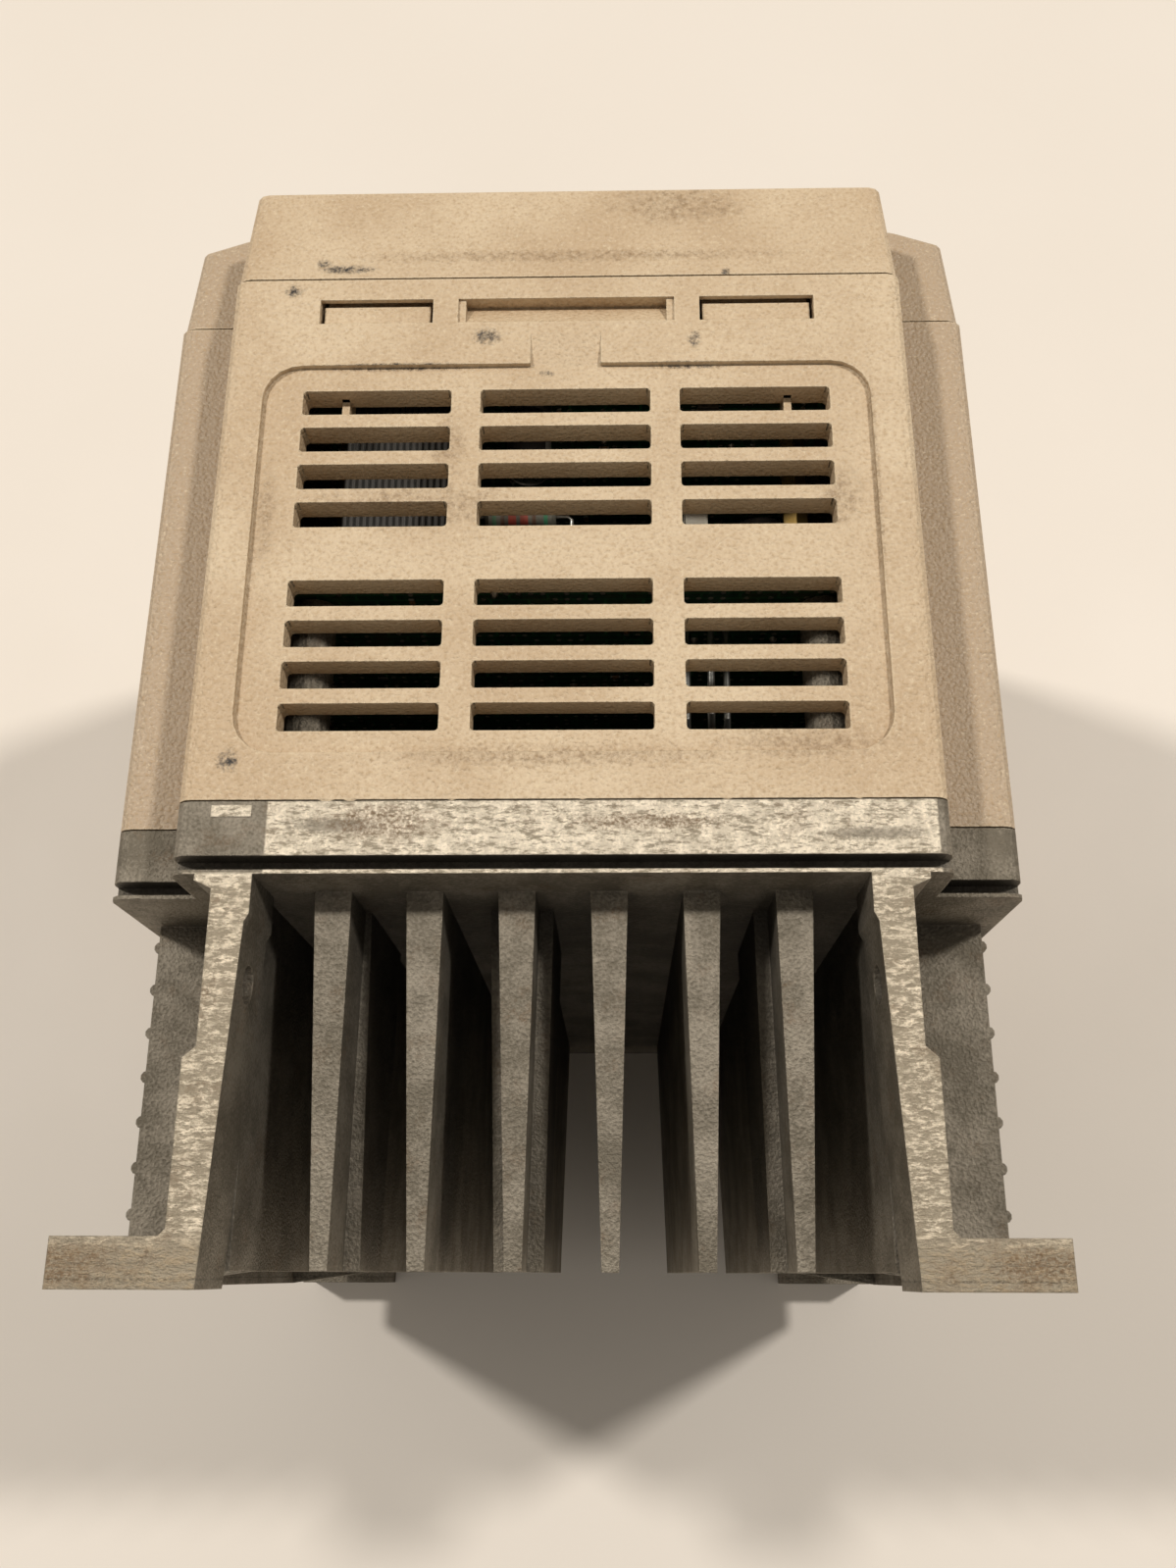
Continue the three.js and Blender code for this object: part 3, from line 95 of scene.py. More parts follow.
class FinishTree:
    """The node tree of one finish, with coordinates in millimetres."""

    def __init__(self, name: str) -> None:
        """Starts a tree that holds a surface shader only.

        Args:
            name: Name of the material.
        """
        self.material = bpy.data.materials.new(name)
        self.material.use_nodes = True
        self.tree = self.material.node_tree
        self.tree.nodes.clear()
        self.surface = self.add("BsdfPrincipled")
        self.add("OutputMaterial", {"Surface": self.surface})
        place = self.add("TexCoord").outputs["Object"]
        scale = {0: place, 1: (1000.0, 1000.0, 1000.0)}
        self.mm = self.add("VectorMath", scale, operation="MULTIPLY")
        self.axes = self.add("SeparateXYZ", {0: self.mm})
        self.normal = self.add("SeparateXYZ", {0: self.add("NewGeometry").outputs["Normal"]})

    def add(
        self,
        kind: str,
        inputs: Optional[Dict[Union[int, str], object]] = None,
        **settings: object,
    ) -> bpy.types.Node:
        """Adds a node with its settings, values and links.

        Args:
            kind: Node type without its "ShaderNode" prefix.
            inputs: Socket name or number to a value, a socket, or a node.
            **settings: Properties of the node itself.

        Returns:
            The new node.
        """
        node = self.tree.nodes.new("ShaderNode" + kind)
        for key, value in settings.items():
            setattr(node, key, value)
        for key, given in (inputs or {}).items():
            value = outlet(given)
            if isinstance(value, bpy.types.NodeSocket):
                self.tree.links.new(value, node.inputs[key])
            else:
                node.inputs[key].default_value = value
        return node

    def blot(self, centre: Point, radii: Point, ragged: float = 0.55) -> bpy.types.Node:
        """A blot with a broken edge.

        Args:
            centre: Middle of the blot, in millimetres.
            radii: Reach along each axis, in millimetres.
            ragged: How far noise eats into the edge, as a share of the radii.

        Returns:
            A node that is one inside the blot and nought outside.
        """
        away = self.add("VectorMath", {0: self.mm, 1: centre}, operation="SUBTRACT")
        away = self.add("VectorMath", {0: away, 1: radii}, operation="DIVIDE")
        reach = self.add("VectorMath", {0: away}, operation="LENGTH").outputs["Value"]
        size = 4.0 / max(0.5, min(radii[0], radii[1]))
        broken = self.add("TexNoise", {0: self.mm, "Scale": size, "Detail": 4.0})
        reach = self.add(
            "Math", {0: broken, 1: 2.0 * ragged, 2: reach}, operation="MULTIPLY_ADD"
        )
        limits = {"Value": reach, "From Min": 1.0 + ragged, "From Max": 0.35 + ragged}
        return self.add("MapRange", limits, interpolation_type="SMOOTHSTEP")

    def strongest(self, *masks: object) -> object:
        """The strongest of several masks at each place."""
        result = masks[0]
        for mask in masks[1:]:
            result = self.add("Math", {0: result, 1: mask}, operation="MAXIMUM")
        return result

    def overlap(self, *masks: object) -> object:
        """Where several masks lie over each other."""
        result = masks[0]
        for mask in masks[1:]:
            result = self.add("Math", {0: result, 1: mask}, operation="MULTIPLY")
        return result

    def corner_dirt_and_shade(self, reach_mm: float, open_above: float = 0.85, dark_below: float = 0.35) -> bpy.types.Node:
        """Darkening in corners from ambient occlusion, broken up by noise: painted shade, and dirt
        where it joins the stains.

        Args:
            reach_mm: How far out from a corner the darkening is found.
            open_above: Openness above which a surface is not darkened.
            dark_below: Openness below which it is wholly darkened.

        Returns:
            A node that is one where the corner is darkened.
        """
        openness = self.add(
            "AmbientOcclusion", {"Distance": reach_mm * MM}, samples=6
        ).outputs["AO"]
        patch = self.add("TexNoise", {0: self.mm, "Scale": 0.6, "Detail": 5.0})
        shifted = self.add("Math", {0: patch, 1: 0.3, 2: openness}, operation="MULTIPLY_ADD")
        limits = {"Value": shifted, "From Min": open_above + 0.15, "From Max": dark_below + 0.15}
        return self.add("MapRange", limits, interpolation_type="SMOOTHSTEP")

    def edge_highlight(self, reach_mm: float, open_cos: float) -> bpy.types.Node:
        """Finds a band along the edges for a painted highlight, by how a softened normal leaves the
        true one.

        Args:
            reach_mm: How far from the edge the highlight reaches.
            open_cos: Cosine between the two normals at which the highlight is full.

        Returns:
            A node that is one along the edges.
        """
        soft = self.add("Bevel", {"Radius": reach_mm * MM}, samples=4)
        true = self.add("NewGeometry").outputs["Normal"]
        turn = self.add("VectorMath", {0: soft, 1: true}, operation="DOT_PRODUCT")
        return self.add("MapRange", {0: turn.outputs["Value"], 1: 0.995, 2: open_cos})

    def relief(self, *layers: Tuple[object, float], edge_mm: float = 0.35) -> bpy.types.Node:
        """Stacks bumps on a softened edge and wires them to the surface.

        Args:
            *layers: Height factor and its depth in millimetres, from the coarsest.
            edge_mm: Radius of the softened edges.

        Returns:
            The last bump node.
        """
        node = self.add("Bevel", {"Radius": edge_mm * MM}, samples=4)
        for height, depth_mm in layers:
            inputs = {"Height": height, "Distance": depth_mm * MM, "Normal": node}
            node = self.add("Bump", inputs)
        self.tree.links.new(node.outputs[0], self.surface.inputs["Normal"])
        return node

    def paint(self, **values: object) -> bpy.types.Material:
        """Sets the surface shader's sockets.

        Args:
            **values: Socket name, with underscores for spaces, to a value, socket or node.

        Returns:
            The finished material.
        """
        for key, given in values.items():
            value = outlet(given)
            socket = self.surface.inputs[key.replace("_", " ")]
            if isinstance(value, bpy.types.NodeSocket):
                self.tree.links.new(value, socket)
            else:
                socket.default_value = value
        return self.material


@dataclass(frozen=True)
class SandTexturedAbs:
    """Cream ABS from a spark-eroded mould: a matt skin of fine sand-like grains."""

    name: str = "abs_sand_textured_moulding"
    base: str = "d5c0a1"
    shade: str = "c6ae8e"
    yellowed: str = "b29671"
    painted_highlight: str = "e2d0b0"
    painted_side_shade: str = "b5a188"
    brown: str = "7c6040"
    soot: str = "2c2826"
    grain_mm: float = 0.75  # spark erosion leaves about 0.2; coarser here, so that it shows
    patch_mm: float = 26.0
    block_mm: float = 73.0  # half the width of the middle block
    smudges: Tuple[Tuple[Point, Point], ...] = (
        ((63.4, 23.5, 223.0), (2.6, 2.8, 3.0)),
        ((58.5, -84.0, 223.0), (2.6, 2.0, 3.0)),
        ((47.5, -89.8, 223.0), (7.5, 1.5, 5.0)),
        ((52.6, -91.5, 222.0), (2.0, 1.6, 4.0)),
        ((16.6, -71.9, 223.0), (3.6, 2.6, 3.0)),
        ((-27.1, -70.6, 223.0), (1.8, 2.4, 3.0)),
        ((4.0, -63.2, 223.0), (2.2, 1.1, 3.0)),
        ((-25.4, -64.7, 223.0), (12.0, 0.8, 3.0)),
        ((35.0, -64.9, 223.0), (19.0, 0.8, 3.0)),
        ((-34.3, -88.1, 223.0), (1.2, 1.4, 3.0)),
    )
    stains: Tuple[Tuple[Point, Point], ...] = (
        ((30.0, -32.0, 223.0), (26.0, 7.0, 6.0)),
        ((-56.0, -34.0, 223.0), (6.0, 10.0, 6.0)),
        ((2.0, 22.5, 223.0), (44.0, 3.4, 5.0)),
        ((-46.0, 20.0, 223.0), (20.0, 5.0, 5.0)),
        ((61.0, -30.0, 223.0), (3.0, 16.0, 5.0)),
        ((24.0, -46.0, 223.0), (5.0, 9.0, 5.0)),
        ((0.0, -93.0, 223.0), (60.0, 2.2, 4.0)),
        ((-24.0, -107.0, 221.5), (18.0, 7.0, 6.0)),
        ((-63.4, -36.0, 222.5), (0.9, 34.0, 3.0)),
        ((36.0, -64.6, 222.5), (24.0, 0.8, 3.0)),
        ((62.6, -20.0, 222.5), (1.0, 14.0, 3.0)),
    )

    def build(self) -> bpy.types.Material:
        """Makes the material."""
        t = FinishTree(self.name)
        grain = t.add("TexNoise", {0: t.mm, "Scale": 1.0 / self.grain_mm, "Detail": 2.0})
        sand = t.add("TexVoronoi", {0: t.mm, "Scale": 0.8 / self.grain_mm})
        patch = t.add("TexNoise", {0: t.mm, "Scale": 1.0 / self.patch_mm, "Detail": 3.0})
        tone = t.add("MapRange", {0: patch, 1: 0.38, 2: 0.66})
        colour = t.add("Mix", {0: tone, 6: srgb(self.base), 7: srgb(self.shade)}, data_type="RGBA")
        # painted shade: the outer side portions, lower than the middle block, are darkened all
        # over, standing in for the lesser light that reaches them
        wide = t.add("Math", {0: t.axes.outputs[0]}, operation="ABSOLUTE")
        sides = t.add("MapRange", {0: wide, 1: self.block_mm, 2: self.block_mm + 0.6})
        colour = t.add("Mix", {0: sides, 6: colour, 7: srgb(self.painted_side_shade)}, data_type="RGBA")
        speck = t.add("MapRange", {0: grain, 1: 0.5, 2: 0.74, 3: 0.0, 4: 0.6})
        colour = t.add("Mix", {0: speck, 6: colour, 7: srgb(self.yellowed)}, data_type="RGBA")
        # painted highlight: the brightest grains and a band along the edges are lightened, standing
        # in for glints and light caught on the edges
        glint = t.add("MapRange", {0: grain, 1: 0.42, 2: 0.26, 3: 0.0, 4: 0.55})
        glint = t.strongest(glint, t.overlap(t.edge_highlight(0.7, 0.9), 0.6))
        colour = t.add("Mix", {0: glint, 6: colour, 7: srgb(self.painted_highlight)}, data_type="RGBA")
        # handling dirt: brown specks, thickest in the stained places; in corners the darkening
        # comes from ambient occlusion and is partly painted shade
        fine = t.add("TexNoise", {0: t.mm, "Scale": 0.9, "Detail": 6.0, "Roughness": 0.7})
        stains_and_corner_shade: object = t.corner_dirt_and_shade(5.0, 0.78, 0.3)
        for centre, radii in self.stains:
            stains_and_corner_shade = t.strongest(stains_and_corner_shade, t.blot(centre, radii, 0.75))
        threshold = t.add("Math", {0: stains_and_corner_shade, 1: -0.24, 2: 0.69}, operation="MULTIPLY_ADD")
        over = t.add("Math", {0: fine, 1: threshold}, operation="SUBTRACT")
        specks = t.add("MapRange", {0: over, 1: 0.0, 2: 0.13, 3: 0.0, 4: 0.55})
        film = t.add("MapRange", {0: fine, 1: 0.36, 2: 0.64, 3: 0.02, 4: 0.52})
        specks = t.strongest(specks, t.overlap(stains_and_corner_shade, film))
        colour = t.add("Mix", {0: specks, 6: colour, 7: srgb(self.brown)}, data_type="RGBA")
        # painted shade: tight corners and recess edges are darkened brown, standing in for the thin
        # shadow there
        corner = t.corner_dirt_and_shade(2.0, 0.62, 0.2)
        corner = t.add("Math", {0: corner, 1: 0.45}, operation="MULTIPLY")
        colour = t.add("Mix", {0: corner, 6: colour, 7: srgb(self.brown)}, data_type="RGBA")
        soot: object = t.blot(*self.smudges[0])
        for centre, radii in self.smudges[1:]:
            soot = t.strongest(soot, t.blot(centre, radii))
        on_skin = t.add("MapRange", {0: t.normal.outputs[2], 1: 0.4, 2: 0.8})
        soot = t.overlap(t.overlap(soot, on_skin), t.add("MapRange", {0: fine, 1: 0.36, 2: 0.6}))
        colour = t.add("Mix", {0: soot, 6: colour, 7: srgb(self.soot)}, data_type="RGBA")
        rough = t.add("MapRange", {0: sand, 1: 0.0, 2: 0.9, 3: 0.38, 4: 0.62})
        wave = t.add("TexNoise", {0: t.mm, "Scale": 1.0 / 7.0, "Detail": 1.0})
        t.relief((wave, 0.12), (sand, 0.22), (grain, 0.34))
        return t.paint(Base_Color=colour, Roughness=rough, IOR=1.53)


@dataclass(frozen=True)
class DieCastAluminium:
    """Pressure-cast aluminium: dull sandy skin, with the end faces milled bright afterwards."""

    name: str = "aluminium_die_cast_milled_ends"
    skin: str = "a0988a"
    skin_dark: str = "7a7366"
    milled: str = "f3e8d4"
    torn: str = "978d7b"
    arm: str = "e9dcc6"
    foot: str = "a3937a"
    brown: str = "6b4f30"
    dirt_and_shade: str = "24201a"
    sand_mm: float = 0.65  # shot-blasted grain of about 0.3, drawn coarser so that it shows
    end_mm: float = 223.0
    bar_mm: float = 45.4  # y of the bar's rear edge
    cast_end_mm: float = 55.0  # x past which the bar was left as cast
    arm_mm: Tuple[float, float] = (45.0, 49.0)  # y over which the bar runs into the arms
    foot_mm: Tuple[float, float] = (108.0, 112.0)  # y over which the arms run into the feet
    parting_mm: float = 116.4  # y of the line where the die halves met
    shade_start_mm: Tuple[float, float] = (28.0, 33.0)  # y over which the painted shade and dirt begin
    smears: Tuple[Tuple[Point, Point], ...] = (
        ((42.0, 36.6, 223.0), (12.0, 2.2, 4.0)),
        ((-58.0, 38.4, 223.0), (13.0, 1.8, 4.0)),
    )
    oil: Tuple[Tuple[Point, Point], ...] = (
        ((33.0, 36.0, 223.0), (15.0, 5.0, 6.0)),
        ((-16.0, 36.0, 223.0), (18.0, 2.2, 6.0)),
        ((84.0, 114.0, 223.0), (14.0, 5.0, 8.0)),
        ((-80.0, 114.0, 223.0), (10.0, 4.0, 8.0)),
    )

    def build(self) -> bpy.types.Material:
        """Makes the material."""
        t = FinishTree(self.name)
        x, y, z = t.axes.outputs
        sand = t.add("TexNoise", {0: t.mm, "Scale": 1.0 / self.sand_mm, "Detail": 3.0})
        fine = t.add("TexNoise", {0: t.mm, "Scale": 1.6, "Detail": 6.0, "Roughness": 0.7})
        patch = t.add("TexNoise", {0: t.mm, "Scale": 1.0 / 14.0, "Detail": 5.0, "Roughness": 0.65})
        tone = t.add("Math", {0: sand, 1: 0.55, 2: patch}, operation="MULTIPLY_ADD")
        tone = t.add("MapRange", {0: tone, 1: 0.66, 2: 0.92})
        dull, sandy = srgb(self.skin_dark), srgb(self.skin)
        skin = t.add("Mix", {0: tone, 6: dull, 7: sandy}, data_type="RGBA")
        # milled where the metal reaches the end plane
        high = t.add("MapRange", {0: z, 1: self.end_mm - 0.12, 2: self.end_mm - 0.04})
        flat = t.add("MapRange", {0: t.normal.outputs[2], 1: 0.9, 2: 0.97})
        milled = t.overlap(high, flat)
        on_bar = t.add("MapRange", {0: y, 1: self.bar_mm + 0.6, 2: self.bar_mm})
        past = {0: x, 1: self.cast_end_mm - 0.2, 2: self.cast_end_mm + 0.2}
        clear = t.overlap(t.add("MapRange", past), on_bar)
        smears = [t.blot(centre, radii, 0.5) for centre, radii in self.smears]
        smeared = t.overlap(t.strongest(*smears), 0.75)
        keep = t.add("Math", {0: 1.0, 1: t.strongest(clear, smeared)}, operation="SUBTRACT")
        milled = t.overlap(milled, keep)
        # proud of the end plane, the cutter always touched
        proud = t.add("MapRange", {0: z, 1: self.end_mm + 0.03, 2: self.end_mm + 0.08})
        milled = t.strongest(milled, proud)
        # cutter marks run across the arms at a slant
        marks = t.add(
            "Mapping", {0: t.mm, 2: (0.0, 0.0, 0.3), 3: (0.42, 1.2, 1.2)}, vector_type="POINT"
        )
        marks = t.add("TexNoise", {0: marks, "Scale": 1.0, "Detail": 4.0, "Roughness": 0.75})
        torn = t.add("MapRange", {0: fine, 1: 0.35, 2: 0.7, 3: 0.0, 4: 0.4})
        arm_low, arm_high = self.arm_mm
        limit = t.add("MapRange", {0: y, 1: arm_low, 2: arm_high, 3: 0.36, 4: 0.44})
        over = t.add("Math", {0: marks, 1: limit}, operation="SUBTRACT")
        bright = t.add("MapRange", {0: over, 1: 0.0, 2: 0.16})
        bright = t.add("Math", {0: bright, 1: torn}, operation="SUBTRACT", use_clamp=True)
        # the cutter skipped over low spots, which stay dull, and the milled colour is darker along
        # the arms and darker still on the feet
        low = t.add("TexNoise", {0: t.mm, "Scale": 0.42, "Detail": 5.0, "Roughness": 0.7})
        bright = t.overlap(bright, t.add("MapRange", {0: low, 1: 0.4, 2: 0.58, 3: 0.6, 4: 1.0}))
        on_arm = t.add("MapRange", {0: y, 1: arm_low, 2: arm_high})
        on_foot = t.add("MapRange", {0: y, 1: self.foot_mm[0], 2: self.foot_mm[1]})
        fresh = t.add("Mix", {0: on_arm, 6: srgb(self.milled), 7: srgb(self.arm)}, data_type="RGBA")
        fresh = t.add("Mix", {0: on_foot, 6: fresh, 7: srgb(self.foot)}, data_type="RGBA")
        cut = t.add("Mix", {0: bright, 6: srgb(self.torn), 7: fresh}, data_type="RGBA")
        colour = t.add("Mix", {0: milled, 6: skin, 7: cut}, data_type="RGBA")
        # old oil and rust water dried into brown patches
        spread = t.add("TexNoise", {0: t.mm, "Scale": 1.0 / 9.0, "Detail": 7.0, "Roughness": 0.72})
        brown: object = t.add("MapRange", {0: spread, 1: 0.54, 2: 0.72, 3: 0.0, 4: 0.75})
        for centre, radii in self.oil:
            brown = t.strongest(brown, t.overlap(t.blot(centre, radii, 0.8), 0.8))
        broken = t.add("MapRange", {0: fine, 1: 0.38, 2: 0.62})
        brown = t.overlap(brown, broken)
        colour = t.add("Mix", {0: brown, 6: colour, 7: srgb(self.brown)}, data_type="RGBA")
        # the parting line of the die runs along each foot
        off = t.add("Math", {0: y, 1: self.parting_mm}, operation="SUBTRACT")
        off = t.add("Math", {0: off}, operation="ABSOLUTE")
        seam = t.overlap(t.add("MapRange", {0: off, 1: 0.25, 2: 0.08, 3: 0.0, 4: 0.55}), broken)
        colour = t.add("Mix", {0: seam, 6: colour, 7: srgb(self.dirt_and_shade)}, data_type="RGBA")
        # painted shade and dirt: the root of every fin and the shelf under the bar are darkened
        # near black from ambient occlusion, standing in mostly for the shadow there
        outside = t.add("MapRange", {0: y, 1: self.shade_start_mm[0], 2: self.shade_start_mm[1]})
        dirt_and_shade = t.overlap(t.corner_dirt_and_shade(16.0, 0.72, 0.22), outside)
        # painted highlight: the edges are lightened towards the milled colour, standing in for
        # light caught along them
        ragged = t.add("MapRange", {0: fine, 1: 0.46, 2: 0.64, 3: 0.0, 4: 0.45})
        worn = t.overlap(t.edge_highlight(0.5, 0.86), ragged)
        colour = t.add("Mix", {0: worn, 6: colour, 7: srgb(self.milled)}, data_type="RGBA")
        root_shade_and_dirt = t.overlap(dirt_and_shade, 0.8)
        colour = t.add("Mix", {0: root_shade_and_dirt, 6: colour, 7: srgb(self.dirt_and_shade)}, data_type="RGBA")
        dulled = t.strongest(t.overlap(dirt_and_shade, 0.9), t.overlap(brown, 0.6))
        metal = t.add("MapRange", {0: dulled, 1: 0.0, 2: 1.0, 3: 0.92, 4: 0.1})
        rough = t.add("MapRange", {0: milled, 1: 0.0, 2: 1.0, 3: 0.56, 4: 0.4})
        rough = t.add("Math", {0: fine, 1: 0.16, 2: rough}, operation="MULTIPLY_ADD")
        height = t.add("MapRange", {0: milled, 1: 0.0, 2: 1.0, 3: 1.0, 4: 0.35})
        pits = t.overlap(sand, height)
        scored = t.overlap(marks, milled)
        t.relief((patch, 0.3), (pits, 0.34), (scored, 0.3), (fine, 0.12), edge_mm=0.45)
        return t.paint(Base_Color=colour, Metallic=metal, Roughness=rough)


@dataclass(frozen=True)
class EvenFinish:
    """A finish of one colour with its own grain, wear and gloss, for the smaller pieces."""

    name: str
    base: str
    worn: str
    grain_mm: float = 0.6
    depth_mm: float = 0.03
    roughness: float = 0.5
    metallic: float = 0.0
    ior: float = 1.5
    dust: float = 0.35
    dust_colour: str = "8c8272"
    edge_mm: float = 0.2
    stretch: Point = (1.0, 1.0, 1.0)
    coat: float = 0.0

    def build(self) -> bpy.types.Material:
        """Makes the material."""
        t = FinishTree(self.name)
        grid = t.add("VectorMath", {0: t.mm, 1: self.stretch}, operation="MULTIPLY")
        grain = t.add("TexNoise", {0: grid, "Scale": 1.0 / self.grain_mm, "Detail": 3.0})
        cloud = t.add("TexNoise", {0: t.mm, "Scale": 0.14, "Detail": 5.0, "Roughness": 0.65})
        tone = t.add("Math", {0: grain, 1: 0.5, 2: cloud}, operation="MULTIPLY_ADD")
        tone = t.add("MapRange", {0: tone, 1: 0.55, 2: 0.98})
        colour = t.add("Mix", {0: tone, 6: srgb(self.base), 7: srgb(self.worn)}, data_type="RGBA")
        up = t.add("MapRange", {0: t.normal.outputs[2], 1: -0.2, 2: 1.0, 3: 0.25, 4: 1.0})
        lint = t.add("MapRange", {0: cloud, 1: 0.36, 2: 0.66, 3: 0.1, 4: self.dust})
        settled = t.overlap(up, lint)
        dust = srgb(self.dust_colour)
        colour = t.add("Mix", {0: settled, 6: colour, 7: dust}, data_type="RGBA")
        rough = t.add("Math", {0: grain, 1: 0.2, 2: self.roughness - 0.1}, operation="MULTIPLY_ADD")
        rough = t.add("Math", {0: settled, 1: 0.3, 2: rough}, operation="MULTIPLY_ADD")
        t.relief((cloud, 0.05), (grain, self.depth_mm), edge_mm=self.edge_mm)
        if self.metallic:
            metal = {0: settled, 1: 0.0, 2: 1.0, 3: self.metallic, 4: 0.3}
            return t.paint(
                Base_Color=colour, Metallic=t.add("MapRange", metal), Roughness=rough
            )
        return t.paint(Base_Color=colour, Roughness=rough, IOR=self.ior, Coat_Weight=self.coat)


@dataclass(frozen=True)
class SolderMaskedBoard:
    """Glass-fibre board under green solder mask: copper tracks show as paler, raised lines."""

    name: str = "glass_fibre_board_solder_masked"
    mask: str = "12402a"
    track: str = "1f6440"
    tin: str = "b9bab2"
    flux: str = "5b4a24"
    grid_mm: float = 2.54  # the usual hole spacing of leaded parts
    track_mm: float = 5.08

    def build(self) -> bpy.types.Material:
        """Makes the material."""
        t = FinishTree(self.name)
        flat = t.add("CombineXYZ", {0: t.axes.outputs[0], 1: t.axes.outputs[2], 2: 0.0})
        bricks = t.add(
            "TexBrick",
            {
                0: flat,
                "Scale": 1.0 / self.track_mm,
                "Mortar Size": 0.06,
                "Brick Width": 1.6,
                "Row Height": 0.5,
                1: (0.0, 0.0, 0.0, 1.0),
                2: (0.0, 0.0, 0.0, 1.0),
                3: (1.0, 1.0, 1.0, 1.0),
            },
        )
        pads = t.add("TexVoronoi", {0: flat, "Scale": 1.0 / self.grid_mm, "Randomness": 0.0})
        chance = t.add("SeparateColor", {0: pads.outputs["Color"]})
        chosen = t.add("MapRange", {0: chance, 1: 0.6, 2: 0.62})
        disc = t.add("MapRange", {0: pads, 1: 0.26, 2: 0.2})
        pad = t.overlap(chosen, disc)
        tracks = t.add("MapRange", {0: bricks, 1: 0.3, 2: 0.7})
        mask, track = srgb(self.mask), srgb(self.track)
        colour = t.add("Mix", {0: tracks, 6: mask, 7: track}, data_type="RGBA")
        colour = t.add("Mix", {0: pad, 6: colour, 7: srgb(self.tin)}, data_type="RGBA")
        stain = t.add("TexNoise", {0: t.mm, "Scale": 0.1, "Detail": 6.0})
        flux = t.add("MapRange", {0: stain, 1: 0.52, 2: 0.75, 3: 0.0, 4: 0.55})
        colour = t.add("Mix", {0: flux, 6: colour, 7: srgb(self.flux)}, data_type="RGBA")
        rough = t.add("MapRange", {0: stain, 1: 0.3, 2: 0.7, 3: 0.28, 4: 0.6})
        metal = t.add("Math", {0: pad, 1: 0.9}, operation="MULTIPLY")
        t.relief((tracks, 0.05), (pad, 0.12), edge_mm=0.1)
        return t.paint(Base_Color=colour, Roughness=rough, Metallic=metal, IOR=1.55)


@dataclass(frozen=True)
class SmokedAcrylic:
    """Tinted acrylic window: glossy, lets the digits behind it show dimly."""

    name: str = "acrylic_smoked_moulding"
    tint: str = "5d655f"

    def build(self) -> bpy.types.Material:
        """Makes the material."""
        t = FinishTree(self.name)
        wipe = t.add("Mapping", {0: t.mm, 3: (0.08, 1.0, 1.6)}, vector_type="POINT")
        haze = t.add("TexNoise", {0: wipe, "Scale": 1.0, "Detail": 5.0})
        rough = t.add("MapRange", {0: haze, 1: 0.3, 2: 0.8, 3: 0.03, 4: 0.22})
        t.relief((haze, 0.01), edge_mm=0.3)
        return t.paint(
            Base_Color=srgb(self.tint), Roughness=rough, IOR=1.49, Transmission_Weight=0.9
        )


